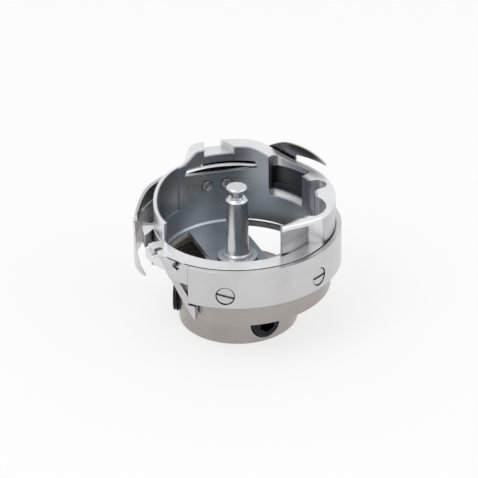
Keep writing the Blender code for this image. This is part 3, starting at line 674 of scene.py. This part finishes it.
def set_screw(name):
    """Headless threaded screw along Z, its hex socket at the top and its point towards the shaft."""
    rings_per_pitch = 8
    rings = int(SET_SCREW_LENGTH / THREAD_PITCH * rings_per_pitch)
    mesh = bpy.data.meshes.new(name)
    shape = bmesh.new()
    loops = []
    for ring in range(rings + 1):
        height = -SET_SCREW_LENGTH * ring / rings
        end_limit = min(SET_SCREW_RADIUS - SET_SCREW_CHAMFER - height,
                        SET_SCREW_RADIUS - SET_SCREW_POINT + SET_SCREW_LENGTH + height)
        loop = []
        for side in range(HOLE_SIDES):
            turn = side / HOLE_SIDES
            radius = min(thread_radius(turn, height), end_limit)
            loop.append(shape.verts.new((*polar(radius, 360.0 * turn), height)))
        loops.append(loop)
    for upper, lower in zip(loops, loops[1:]):
        for side in range(HOLE_SIDES):
            after = (side + 1) % HOLE_SIDES
            shape.faces.new((upper[side], lower[side], lower[after], upper[after]))
    shape.faces.new(loops[0])
    shape.faces.new(loops[-1][::-1])
    shape.to_mesh(mesh)
    shape.free()
    screw = new_object(name, mesh)
    cut(screw, rod("socket", SOCKET_RADIUS, -SOCKET_DEPTH, OVER, sides=6))
    return screw


def wall_top(angle):
    """Height of the bowl's upper wall, highest at the back."""
    if angle < 90.0:
        return blend(angle, *BACK_RISE, SIDE_TOP, BACK_TOP)
    if angle < LEFT_START:
        return blend(angle, *BACK_FALL, BACK_TOP, LEFT_CREST)
    return blend(angle, LEFT_START, LEFT_FALL_END, LEFT_CREST, LEFT_TOP)


def wall_section(outer, inner, foot, top):
    """Plain upright section between two radii and two heights."""
    return [(outer, top), (outer, foot), (inner, foot), (inner, top)]


def rear_section(angle):
    """Rear and left wall, a little lower than the flange on it."""
    return wall_section(UPPER_OUTER, BLANK_INNER - 0.2, RIB_TOP - 0.5, wall_top(angle) - EDGE)


def rim_outer(angle):
    """Outer edge of the rim, narrow at the arm's tip and at the rear tab."""
    outer = blend(angle, ARM_TIP, ARM_ROOT, ARM_EDGE, FLANGE_RADIUS)
    return blend(angle, 115.0, FLANGE_END, outer, UPPER_OUTER + 0.15)


def rim_section(angle):
    """Right side wall on the race ring, and behind it the rim that overhangs the rear wall."""
    high = wall_top(angle)
    outer = rim_outer(angle)
    inner = BLANK_INNER + 0.3
    if angle <= SIDE_END:
        under = BAND_TOP + 0.35
        neck = (outer - 0.45, BAND_TOP - 0.1)
        foot = RIB_TOP - 0.3
    else:
        under = high - blend(angle, 50.0, 80.0, 1.3, 2.4)
        neck = (BOWL_INNER + 0.4, under - 0.1)
        foot = under - 0.3
    return [(outer - 0.2, high), (outer, high - 0.2), (outer, under), neck, (neck[0], foot),
            (inner, foot), (inner, high)]


def make_rim():
    """Side wall and rim in one sweep, with the flat panel milled back under the arm."""
    rim = arc_loft("rim", arc_angles(ARM_TIP, SIDE_END) + arc_angles(SIDE_END + 0.5, FLANGE_END), rim_section)
    panel_angle = -math.degrees(math.acos(PANEL_END / PANEL_OUTER))
    outline = [polar(PANEL_OUTER, angle) for angle in arc_angles(ARM_TIP - 8.0, panel_angle)]
    outline += [(BEYOND, outline[-1][1]), (BEYOND, -BEYOND), (0.0, -BEYOND)]
    cut(rim, plate("panel", outline, LEDGE, ARM_BOTTOM))
    return rim


def corner(distance, size):
    """How far a round corner of a size falls short of its square corner, at a distance from its side."""
    left = 1.0 - min(1.0, max(0.0, distance / size))
    return size * (1.0 - math.sqrt(1.0 - left ** 2))


def window_section(angle):
    """Recess for the finger of the bobbin case, open upwards, with round corners in plan."""
    from_jamb = math.radians(min(angle - WINDOW_START, WINDOW_END - angle)) * WINDOW_LIP
    outer = WINDOW_LIP - corner(from_jamb, WINDOW_ROUND)
    return wall_section(outer, BLANK_INNER - OVER, BAND_TOP + 0.05, HIGHEST)


def arch_section(angle):
    """Deeper part of the recess, under an arch that comes down beside the needle pocket."""
    from_jamb = math.radians(angle - WINDOW_START) * WINDOW_LIP
    return wall_section(WINDOW_WALL, BLANK_INNER, BAND_TOP + 0.6, WINDOW_TOP - corner(from_jamb, WINDOW_ARCH))


def slot_heights(angle):
    """Lower and upper edge of the long slot in the back wall, level above and sagging below."""
    along = (2.0 * angle - SLOT_START - SLOT_END) / (SLOT_END - SLOT_START)
    low = mix((SLOT_SAG, SLOT_END_LOW), along * along)
    high = SLOT_TOP
    for end, size in zip((SLOT_START, SLOT_END), SLOT_ROUNDS):
        high -= corner(math.radians(abs(angle - end)) * BOWL_INNER, size)
    return low, high


def slot_section(angle):
    """Section of the slot, through the whole wall."""
    return wall_section(UPPER_OUTER + OVER, BOWL_INNER - OVER, *slot_heights(angle))


def leaf_section():
    """Section of the leaf behind the slot, its upper edge a little below the slot's."""
    inner, outer = LEAF_RADII
    return [(outer, LEAF_TOP), (outer, LEAF_BOTTOM), (inner, LEAF_BOTTOM), (inner, LEAF_TOP - LEAF_GROUND),
            (inner + 0.6 * LEAF_GROUND, LEAF_TOP)]


def round_about(x, y, radius, angles):
    """Points of a round outline about a centre."""
    return [(x + across, y + along) for across, along in (polar(radius, angle) for angle in angles)]


def needle_pocket(angle, reach, radius, flare):
    """Round-nosed pocket milled outwards from the bowl, along an angle, its front side flared."""
    start = BLANK_INNER - 1.5
    nose = round_about(reach - radius, 0.0, radius, range(-90, 91, 6))
    outline = [(start, -radius - flare)] + nose + [(start, radius)]
    pocket = plate("needle_pocket", outline, BAND_TOP, HIGHEST)
    pocket.data.transform(Matrix.Rotation(math.radians(angle), 4, "Z"))
    return pocket


def thread_pocket(x, y, radius, side):
    """Round pocket behind the arm, deep up to a flat side, and its shallow part in the arm's inner edge."""
    turn = math.degrees(math.asin((side - y) / radius))
    deep = [(x, side)] + round_about(x, y, radius, arc_angles(turn, 90.0))
    shallow = round_about(x, y, radius - 0.05, arc_angles(0.0, 360.0)[:-1])
    arm_edge = plate("arm_edge", shallow, ARM_BOTTOM + 0.3, HIGHEST)
    return plate("thread_pocket", deep, BAND_TOP, HIGHEST), arm_edge


def floor_opening(name, side, radius):
    """Cut-out of the bowl's floor beside the bridge."""
    limit = math.degrees(math.acos(BRIDGE_HALF / radius))
    outline = [polar(radius, side + angle) for angle in arc_angles(-limit, limit)]
    opening = plate(name, outline, BOWL_BOTTOM - OVER, BOWL_FLOOR + 0.3)
    opening.data.transform(Matrix.Rotation(math.radians(BRIDGE_ANGLE), 4, "Z"))
    return opening


def bowl_bore():
    """Inside of the bowl, from the floor up, with a fillet at the floor."""
    return turned("bore", [
        (BOWL_INNER, HIGHEST), (BOWL_INNER, BOWL_FLOOR + FLOOR_FILLET),
        (BOWL_INNER - FLOOR_FILLET, BOWL_FLOOR), (0.5, BOWL_FLOOR), (0.5, HIGHEST)])


def cut_race_ring(bowl):
    """Gap in the rib at the back, the tooth at its left end, and a notch in its outer edge."""
    low = LEDGE - 0.4
    high = BAND_TOP + 1.6
    wall = BOWL_OUTER - 0.1
    cut(bowl, sector("rib_gap", wall, BEYOND, RIB_END, TOOTH_START, low, high))
    cut(bowl, sector("tooth_side", TOOTH_RADIUS, BEYOND, TOOTH_START - OVER, RIB_START - OVER, low, high))
    tooth_gap = [polar(TOOTH_RADIUS + OVER, TOOTH_POINT), polar(BEYOND, RIB_START)]
    tooth_gap += [polar(wall, angle) for angle in reversed(arc_angles(TOOTH_END, RIB_START))]
    cut(bowl, plate("tooth_gap", tooth_gap, low, high))
    cut(bowl, edge_notch("ring_notch", RING_RADIUS - 1.4, **RING_NOTCH))


def make_bobbin_case_base():
    """Bowl with its race rib, walls, rim, openings, pockets and screw holes."""
    bowl = turned("bobbin_case_base", [
        (RING_RADIUS, BAND_TOP), (RING_RADIUS, RIB_TOP), (RIB_RADIUS, RIB_TOP),
        (RIB_RADIUS, LEDGE + GAP), (BOWL_OUTER, LEDGE + GAP), (BOWL_OUTER, BOWL_BOTTOM + 0.2),
        (BOWL_OUTER - 0.2, BOWL_BOTTOM), (RIVET_HOLE, BOWL_BOTTOM), (RIVET_HOLE, BOWL_FLOOR + 1.0),
        (BLANK_INNER, BOWL_FLOOR + 1.0), (BLANK_INNER, RIB_TOP - 1.0), (RING_INNER, BAND_TOP)])
    cut_race_ring(bowl)
    rear = arc_loft("rear_wall", arc_angles(60.0, LEFT_END), rear_section)
    join(bowl, rear, make_rim())
    cut(bowl, bowl_bore())
    cut(bowl, floor_opening("left_opening", 90.0, LEFT_OPENING))
    cut(bowl, floor_opening("right_opening", -90.0, RIGHT_OPENING))
    # Way out of the left floor opening through the wall, over the hook's throat
    cut(bowl, sector("side_opening", LEFT_OPENING - 0.3, BEYOND, *SIDE_OPENING, BOWL_BOTTOM - OVER,
                     LEDGE - 0.1))
    # Thin left wall, relieved from inside
    cut(bowl, sector("left_relief", BLANK_INNER - OVER, BOWL_INNER + 0.3, LEFT_START - 2.0, LEFT_END + 4.0,
                     LEDGE + 0.6, HIGHEST))
    # Window recess in the right wall for the finger of the bobbin case
    inside = BLANK_INNER - OVER
    cut(bowl, arc_loft("window", arc_angles(WINDOW_START, WINDOW_END), window_section))
    cut(bowl, arc_loft("arch", arc_angles(WINDOW_START + 0.6, WINDOW_END - 0.6), arch_section))
    cut(bowl, sector("window_sill", inside, UPPER_OUTER + 0.1, WINDOW_START + 0.5, WINDOW_END - 0.5,
                     SILL, BAND_TOP + OVER))
    # Pockets beside the needle's path
    cut(bowl, needle_pocket(**NEEDLE_POCKET), *thread_pocket(**THREAD_POCKET))
    cut(bowl, arc_loft("slot", arc_angles(SLOT_START, SLOT_END), slot_section))
    # Stop notch, with one upright side and one slanting side
    cut(bowl, plate("notch", NOTCH_OUTLINE, NOTCH_FLOOR, HIGHEST))
    for angle in LEAF_SCREW_ANGLES:
        matrix = radial_frame(angle, LEAF_SCREW_HEIGHT)
        cut(bowl, rod("seat", LEAF_SCREW["head"] + SCREW_ROOM, inside, LEAF_SEAT, matrix))
        cut(bowl, rod("hole", LEAF_HOLE, inside, CUP_RADIUS, matrix))
    return bowl


def make_centre_stud():
    """Turned post: domed head on a neck, shoulder, shaft, collar, foot and rivet."""
    collar_top = BOWL_FLOOR + 1.0
    foot = BOWL_FLOOR + GAP
    rim = STUD_TOP - HEAD_DOME - HEAD_RIM
    dome = [(STUD_HEAD * math.sin(math.radians(turn)),
             STUD_TOP - HEAD_DOME * (1.0 - math.cos(math.radians(turn)))) for turn in range(0, 91, 9)]
    fillet = [(STUD_RADIUS + 0.35 * (1.0 - math.cos(math.radians(turn))),
               collar_top + 0.5 * (1.0 - math.sin(math.radians(turn)))) for turn in range(0, 91, 15)]
    return turned("centre_stud", dome + [
        (STUD_HEAD, rim), (STUD_HEAD - EDGE, rim - EDGE),
        (STUD_NECK, rim - 0.2), (STUD_NECK, STUD_SHOULDER), (STUD_RADIUS - 0.5, STUD_SHOULDER),
        (STUD_RADIUS, STUD_SHOULDER - 0.45)] + fillet + [
        (COLLAR_RADIUS, collar_top), (COLLAR_RADIUS, foot + 0.3),
        (FOOT_RADIUS, foot + 0.2), (FOOT_RADIUS, foot), (RIVET_SHANK, foot),
        (RIVET_SHANK, BOWL_BOTTOM - GAP), (RIVET_HEAD, BOWL_BOTTOM - GAP), (RIVET_HEAD, RIVET_BOTTOM),
        (0.0, RIVET_BOTTOM)], closed=False, steps=72)


def make_leaf_spring():
    """Leaf behind the slot, with a hole for each of its screws."""
    leaf = arc_loft("case_leaf_spring", arc_angles(LEAF_START, LEAF_END), lambda angle: leaf_section())
    for angle in LEAF_SCREW_ANGLES:
        cut(leaf, rod("hole", LEAF_HOLE, BOWL_INNER, CUP_RADIUS, radial_frame(angle, LEAF_SCREW_HEIGHT)))
    return leaf


def shader_node(tree, kind, inputs=None, **settings):
    """New shader node; an input is a value or another node's output."""
    made = tree.nodes.new(kind)
    for name, value in settings.items():
        setattr(made, name, value)
    for name, value in (inputs or {}).items():
        if isinstance(value, bpy.types.NodeSocket):
            tree.links.new(value, made.inputs[name])
        else:
            made.inputs[name].default_value = value
    return made


def noise(tree, place, scale, detail):
    """Noise from 0 to 1 at a number of waves a metre."""
    return shader_node(tree, "ShaderNodeTexNoise", {
        "Vector": place, "Scale": scale, "Detail": detail}).outputs["Fac"]


def spread(tree, value, low, high):
    """A noise's middle range stretched between two values."""
    return shader_node(tree, "ShaderNodeMapRange", {
        "Value": value, "From Min": 0.3, "From Max": 0.7, "To Min": low, "To Max": high}).outputs["Result"]


def blend_colours(tree, share, first, second):
    """First colour at a share of 0, second at 1; each is a value or an output."""
    made = shader_node(tree, "ShaderNodeMix", {"Factor": share}, data_type="RGBA")
    for socket, colour in (("A_Color", first), ("B_Color", second)):
        target = next(s for s in made.inputs if s.identifier == socket)
        if isinstance(colour, bpy.types.NodeSocket):
            tree.links.new(colour, target)
        else:
            target.default_value = (*colour, 1.0)
    return next(s for s in made.outputs if s.identifier == "Result_Color")


def scaled(colour, share):
    """Colour made darker or lighter by a share."""
    return tuple(channel * share for channel in colour)


def fade(tree, value, low, high):
    """0 below a low value, 1 above a high one."""
    return shader_node(tree, "ShaderNodeMapRange", {
        "Value": value, "From Min": low, "From Max": high}).outputs["Result"]


def smudged(tree, smudges, colour):
    """A colour that varies a little with the smudges."""
    return blend_colours(tree, spread(tree, smudges, 0.0, 1.0), scaled(colour, 0.92), scaled(colour, 1.06))


def shade_recesses(tree, colour, recess):
    """Colour darkened with painted shade from ambient occlusion in narrow gaps, and to a given share in
    deeper recesses.
    """
    # Ambient occlusion within 0.7 mm paints shade into gaps, and within 5 mm into deeper recesses
    for reach, least, most in ((0.7, 0.0, 0.55), (5.0, recess, 0.6)):
        shelter = shader_node(tree, "ShaderNodeAmbientOcclusion", {"Distance": reach * MM}, samples=8)
        unshaded = shader_node(tree, "ShaderNodeMapRange", {
            "Value": shelter.outputs["AO"], "From Min": 0.15, "From Max": most, "To Min": least})
        colour = blend_colours(tree, unshaded.outputs["Result"], PAINTED_SHADE, colour)
    return colour


def shade_patched(tree, place, radius, height, colour, shade_patch):
    """Colour with a patch of painted shade between two angles, two radii and two heights."""
    angles, radii, heights, shade_colour = shade_patch
    half = 0.5 * (angles[1] - angles[0])
    toward = (*polar(1.0, angles[0] + half), 0.0)
    forward = shader_node(tree, "ShaderNodeVectorMath", {0: place, 1: toward}, operation="DOT_PRODUCT")
    share = shader_node(tree, "ShaderNodeMath", {0: forward.outputs["Value"], 1: radius}, operation="DIVIDE")
    inside = [fade(tree, share.outputs[0], math.cos(math.radians(half)), math.cos(math.radians(half - 0.5)))]
    for value, (low, high) in ((radius, radii), (height, heights)):
        inside.append(fade(tree, value, low * MM, (low + SHADE_PATCH_EDGE) * MM))
        inside.append(fade(tree, value, high * MM, (high - SHADE_PATCH_EDGE) * MM))
    amount = inside[0]
    for limit in inside[1:]:
        amount = shader_node(tree, "ShaderNodeMath", {0: amount, 1: limit}, operation="MULTIPLY").outputs[0]
    return blend_colours(tree, amount, colour, shade_colour)


def steel(name, colour, roughness, lanes, lines, mark_depth, recess=0.6, lower=None, inner=None, shade_patches=()):
    """Machined steel: tool marks running round the Z axis, smudges, a fine grain, and painted shade from
    ambient occlusion in corners and recesses.

    lanes is the number of marks a metre, lines how dark they are and recess the share of the colour left
    in deep recesses by the painted shade; lower, where given, is the colour below the race band, inner is a
    radius and a height with a painted tone inside and above them, painted light on the hook body and painted
    shade on the blade and the bowl, and shade_patches are angles, radii, heights and colours of painted
    shade.
    """
    material = bpy.data.materials.new(name)
    material.use_nodes = True
    tree = material.node_tree
    shader = tree.nodes["Principled BSDF"]
    place = shader_node(tree, "ShaderNodeTexCoord").outputs["Object"]
    split = shader_node(tree, "ShaderNodeSeparateXYZ", {0: place})
    across = shader_node(tree, "ShaderNodeCombineXYZ", {"X": split.outputs["X"], "Y": split.outputs["Y"]})
    radius = shader_node(tree, "ShaderNodeVectorMath", {0: across.outputs[0]}, operation="LENGTH")
    lane = shader_node(tree, "ShaderNodeCombineXYZ", {
        "X": radius.outputs["Value"], "Y": split.outputs["Z"]}).outputs[0]
    marks = noise(tree, lane, lanes, 4.0)
    smudges = noise(tree, place, 160.0, 5.0)
    grain = noise(tree, place, 6000.0, 2.0)
    tone = smudged(tree, smudges, colour)
    if lower:
        above = fade(tree, split.outputs["Z"], (BAND_BOTTOM - 0.2) * MM, (BAND_BOTTOM + 0.2) * MM)
        tone = blend_colours(tree, above, smudged(tree, smudges, lower), tone)
    # Painted tone inside a radius and above a height: painted light in the hook's cup, painted shade on the
    # blade and in the bowl
    if inner:
        limit, floor, painted_inside_tone = inner
        outside = fade(tree, radius.outputs["Value"], (limit - 0.1) * MM, (limit + 0.1) * MM)
        beneath = fade(tree, split.outputs["Z"], (floor + 0.1) * MM, (floor - 0.1) * MM)
        plain = shader_node(tree, "ShaderNodeMath", {0: outside, 1: beneath}, operation="MAXIMUM")
        tone = blend_colours(tree, plain.outputs[0], smudged(tree, smudges, painted_inside_tone), tone)
    # Patches of painted shade, darker where the surface lies in shade or reflects dark surroundings
    for shade_patch in shade_patches:
        tone = shade_patched(tree, place, radius.outputs["Value"], split.outputs["Z"], tone, shade_patch)
    lined = blend_colours(tree, spread(tree, marks, 0.0, lines), tone, scaled(colour, 0.45))
    # The base colour gets painted shade from ambient occlusion in gaps and recesses
    tree.links.new(shade_recesses(tree, lined, recess), shader.inputs["Base Color"])
    rough = shader_node(tree, "ShaderNodeMath", {
        0: spread(tree, marks, (1.0 - lines) * roughness, (1.0 + lines) * roughness),
        1: spread(tree, smudges, -0.04, 0.06)}, operation="ADD")
    tree.links.new(rough.outputs[0], shader.inputs["Roughness"])
    relief = shader_node(tree, "ShaderNodeMath", {0: marks, 1: grain}, operation="ADD")
    bump = shader_node(tree, "ShaderNodeBump", {
        "Strength": mark_depth, "Distance": 0.00002, "Height": relief.outputs[0]})
    tree.links.new(bump.outputs["Normal"], shader.inputs["Normal"])
    shader.inputs["Metallic"].default_value = 1.0
    return material


def blackened(name, colour, worn, ground=HIGHEST):
    """Black oxide steel, rubbed bright along its edges and above the height of a ground edge."""
    material = bpy.data.materials.new(name)
    material.use_nodes = True
    tree = material.node_tree
    shader = tree.nodes["Principled BSDF"]
    place = shader_node(tree, "ShaderNodeTexCoord").outputs["Object"]
    smudges = noise(tree, place, 700.0, 4.0)
    grain = noise(tree, place, 5000.0, 3.0)
    rounded = shader_node(tree, "ShaderNodeBevel", {"Radius": 0.2 * MM}, samples=6)
    normal = shader_node(tree, "ShaderNodeNewGeometry").outputs["Normal"]
    facing = shader_node(tree, "ShaderNodeVectorMath", {
        0: rounded.outputs["Normal"], 1: normal}, operation="DOT_PRODUCT")
    edge = shader_node(tree, "ShaderNodeMapRange", {
        "Value": facing.outputs["Value"], "From Min": 0.97, "From Max": 0.8}).outputs["Result"]
    height = shader_node(tree, "ShaderNodeSeparateXYZ", {0: place}).outputs["Z"]
    scuffed = shader_node(tree, "ShaderNodeMath", {0: edge, 1: smudges}, operation="MULTIPLY").outputs[0]
    rubbed = shader_node(tree, "ShaderNodeMath", {
        0: scuffed, 1: fade(tree, height, ground * MM, (ground + 0.05) * MM)}, operation="MAXIMUM").outputs[0]
    tone = blend_colours(tree, smudges, scaled(colour, 0.7), scaled(colour, 1.4))
    tree.links.new(blend_colours(tree, rubbed, tone, worn), shader.inputs["Base Color"])
    tree.links.new(spread(tree, smudges, 0.34, 0.5), shader.inputs["Roughness"])
    bump = shader_node(tree, "ShaderNodeBump", {"Strength": 0.2, "Distance": 0.00002, "Height": grain})
    tree.links.new(bump.outputs["Normal"], shader.inputs["Normal"])
    shader.inputs["Metallic"].default_value = 1.0
    return material


def soften(obj, width):
    """Clean the faces and round every sharp edge."""
    weld(obj, EDGE_MERGE)
    obj.data.shade_smooth()
    obj.data.set_sharp_from_angle(angle=math.radians(SHARP_ANGLE))
    bevel = obj.modifiers.new("edges", "BEVEL")
    bevel.width = width
    bevel.segments = 2
    bevel.limit_method = "ANGLE"
    bevel.angle_limit = math.radians(SHARP_ANGLE)
    bevel.use_clamp_overlap = False
    bevel.harden_normals = True
    bake(obj)
    weld(obj, BEVEL_MERGE)


def dress(obj, node, material, edge, place=Matrix.Identity(4)):
    """Round the edges, scale to metres, set in place, and let the piece stand for its node."""
    soften(obj, edge)
    obj.name = node + "_detail"
    obj.data.transform(Matrix.Scale(MM, 4))
    obj.location = place.translation * MM
    obj.rotation_euler = place.to_euler()
    obj.data.materials.clear()
    obj.data.materials.append(material)
    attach(obj, body_of_node[node])
    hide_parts(node)


def make_pieces():
    """Every piece in its steel, each standing for one node."""
    # Grey and near-black tones for the patches of painted shade on the bowl
    shaded_grey = (0.55, 0.55, 0.56)
    dark = (0.10, 0.105, 0.115)
    bright = steel("bright_steel", (0.60, 0.59, 0.595), roughness=0.27, lanes=2200.0,
                   lines=0.05, mark_depth=0.04)
    # The blade's inner face gets a near-black painted reflection of shade, and the guard's end a patch of
    # painted shade
    guard_end_shade = (GUARD_SHADE_PATCH["angles"], (CROWN_INNER - 1.0, HOOK_RADIUS - 0.1),
                 (BAND_TOP, GUARD_SHADE_PATCH["top"]), PAINTED_SHADE)
    blade = steel("blade_steel", (0.63, 0.62, 0.625), roughness=0.24, lanes=2200.0, lines=0.08,
                  mark_depth=0.08,
                  inner=(GUARD_SHADE_RADIUS, 0.0, (0.08, 0.08, 0.09)), shade_patches=[guard_end_shade])
    # Inside the cup the lighter tone is painted light, lifting surfaces that lie in shade
    body = steel("body_steel", (0.63, 0.62, 0.625), roughness=0.26, lanes=1800.0, lines=0.12,
                 mark_depth=0.12, recess=1.0,
                 lower=(0.40, 0.37, 0.35), inner=(WALL_INNER + 0.2, CUP_BOTTOM + 0.6, (0.66, 0.62, 0.59)))
    # Patches of painted shade on the bowl: the right side wall, the panel under the arm and the finger window
    # recess
    side_wall_shade = ((SIDE_SHADE_START, SIDE_END), (FLANGE_RADIUS - 0.8, HOOK_RADIUS),
                 (LEDGE, BACK_TOP - 3.2), shaded_grey)
    panel = ((ARM_TIP - 2.0, SIDE_SHADE_START), (BOWL_INNER + 0.3, PANEL_OUTER + 0.4),
             (LEDGE, ARM_BOTTOM), scaled(shaded_grey, 0.6))
    window = ((WINDOW_START, WINDOW_END), (BOWL_INNER, WINDOW_WALL + 0.3),
              (BAND_TOP - 0.3, WINDOW_TOP + 0.2), dark)
    # Inside the bowl, within SHADE_RADIUS and above its floor, the darker bluish tone is painted shade
    bowl = steel("bowl_steel", (0.80, 0.80, 0.82), roughness=0.30, lanes=1500.0, lines=0.12,
                 mark_depth=0.10,
                 inner=(SHADE_RADIUS, BOWL_FLOOR - 0.15, (0.38, 0.41, 0.44)),
                 shade_patches=[side_wall_shade, panel, window])
    stud = steel("stud_steel", (0.62, 0.64, 0.66), roughness=0.26, lanes=1500.0, lines=0.03,
                 mark_depth=0.03)
    screw = steel("screw_steel", (0.58, 0.58, 0.59), roughness=0.25, lanes=3000.0, lines=0.12,
                  mark_depth=0.15)
    black = blackened("black_steel", (0.025, 0.025, 0.03), (0.35, 0.34, 0.33))
    blued = blackened("spring_steel", (0.02, 0.021, 0.025), (0.80, 0.82, 0.85), LEAF_TOP - LEAF_GROUND)
    dress(make_hook_body(), "hook_body", body, FINE_EDGE)
    dress(make_gib(), "hook_gib", bright, PLAIN_EDGE)
    dress(make_thread_guard(), "thread_guard", blade, GUARD_EDGE)
    dress(make_needle_guard(), "needle_guard", bright, GUARD_EDGE)
    race_seat = SCREW_SEAT + GAP
    for number, (turn, roll) in enumerate(zip(GIB_SCREW_ANGLES, GIB_SLOT_ROLLS), 1):
        dress(slotted_screw("screw", **SCREW), f"gib_screw_{number}", screw, PLAIN_EDGE,
              radial_frame(turn, SCREW_HEIGHT, race_seat, roll))
    for number, (turn, roll) in enumerate(zip(GUARD_SCREW_ANGLES, GUARD_SLOT_ROLLS), 1):
        dress(slotted_screw("screw", **SCREW), f"thread_guard_screw_{number}", screw, PLAIN_EDGE,
              radial_frame(turn, SCREW_HEIGHT, race_seat, roll))
    for number, (turn, out) in enumerate(zip(SET_SCREW_ANGLES, SET_SCREW_OUTS), 1):
        dress(set_screw("screw"), f"set_screw_{number}", black, SET_SCREW_EDGE,
              radial_frame(turn, SET_SCREW_HEIGHT, out))
    dress(make_bobbin_case_base(), "bobbin_case_base", bowl, FINE_EDGE)
    dress(make_centre_stud(), "centre_stud", stud, STUD_EDGE)
    dress(make_leaf_spring(), "case_leaf_spring", blued, PLAIN_EDGE)
    for number, (turn, roll) in enumerate(zip(LEAF_SCREW_ANGLES, LEAF_SLOT_ROLLS), 1):
        dress(slotted_screw("screw", **LEAF_SCREW), f"leaf_screw_{number}", screw, LEAF_SCREW_EDGE,
              radial_frame(turn, LEAF_SCREW_HEIGHT, LEAF_SEAT - GAP, roll, inward=True))


def seen_directly(tree):
    """1 for what the camera sees, also in polished metal, and 0 for the light that falls on the object."""
    path = shader_node(tree, "ShaderNodeLightPath").outputs
    polished = shader_node(tree, "ShaderNodeMath", {
        0: path["Is Glossy Ray"], 1: path["Is Transmission Ray"]}, operation="MAXIMUM").outputs[0]
    return shader_node(tree, "ShaderNodeMath", {
        0: path["Is Camera Ray"], 1: polished}, operation="MAXIMUM").outputs[0]


def make_floor():
    """White table that keeps a faint shadow."""
    half = 2.0
    mesh = bpy.data.meshes.new("floor")
    mesh.from_pydata([(-half, -half, 0.0), (half, -half, 0.0), (half, half, 0.0), (-half, half, 0.0)],
                     [], [(0, 1, 2, 3)])
    floor = new_object("floor", mesh)
    floor.location.z = -0.02 * MM
    material = bpy.data.materials.new("white_table")
    material.use_nodes = True
    tree = material.node_tree
    tree.nodes.clear()
    paper = shader_node(tree, "ShaderNodeBsdfDiffuse", {"Color": (0.9, 0.9, 0.9, 1.0)})
    glow = shader_node(tree, "ShaderNodeEmission", {"Color": (1.0, 1.0, 1.0, 1.0), "Strength": 1.0})
    share = shader_node(tree, "ShaderNodeMath", {0: seen_directly(tree), 1: 0.72}, operation="MULTIPLY")
    both = shader_node(tree, "ShaderNodeMixShader", {
        0: share.outputs[0], 1: paper.outputs[0], 2: glow.outputs[0]})
    shader_node(tree, "ShaderNodeOutputMaterial", {"Surface": both.outputs[0]})
    mesh.materials.append(material)


def make_world():
    """White surround: full white where it is seen, softer as a light."""
    world = bpy.data.worlds.new("studio")
    world.use_nodes = True
    tree = world.node_tree
    tree.nodes.clear()
    light = shader_node(tree, "ShaderNodeBackground", {"Color": (1.0, 1.0, 1.0, 1.0), "Strength": 0.8})
    white = shader_node(tree, "ShaderNodeBackground", {"Color": (1.0, 1.0, 1.0, 1.0), "Strength": 1.0})
    both = shader_node(tree, "ShaderNodeMixShader", {
        0: seen_directly(tree), 1: light.outputs[0], 2: white.outputs[0]})
    shader_node(tree, "ShaderNodeOutputWorld", {"Surface": both.outputs[0]})
    bpy.context.scene.world = world


def aimed(location, target):
    """Frame at a location whose -Z axis looks at a target."""
    turn = (Vector(target) - Vector(location)).to_track_quat("-Z", "Y")
    return Matrix.Translation(location) @ turn.to_matrix().to_4x4()


def soft_box(name, location, size, power):
    """Square area lamp aimed at the object."""
    lamp = bpy.data.lights.new(name, "AREA")
    lamp.size = size
    lamp.energy = power
    obj = bpy.data.objects.new(name, lamp)
    bpy.context.scene.collection.objects.link(obj)
    obj.matrix_world = aimed(location, (0.0, 0.0, 0.02))


def make_camera():
    """Long lens at the photo's viewpoint, turned a little about its own axis."""
    camera = bpy.data.cameras.new("camera")
    camera.sensor_width = 36.0
    camera.lens = 192.6
    camera.clip_start = 0.01
    obj = bpy.data.objects.new("camera", camera)
    bpy.context.scene.collection.objects.link(obj)
    viewpoint = (0.0, -0.4317, 0.2523)
    target = (0.0003, 0.0, 0.0168)
    tilt = Matrix.Rotation(math.radians(-0.8), 4, "Z")
    obj.matrix_world = aimed(viewpoint, target) @ tilt
    bpy.context.scene.camera = obj


make_pieces()
make_floor()
make_world()
soft_box("key", (-0.35, -0.25, 0.6), size=0.4, power=1.2)
soft_box("fill", (0.5, -0.2, 0.4), size=0.4, power=0.6)
make_camera()
bpy.context.scene.view_settings.view_transform = "Standard"
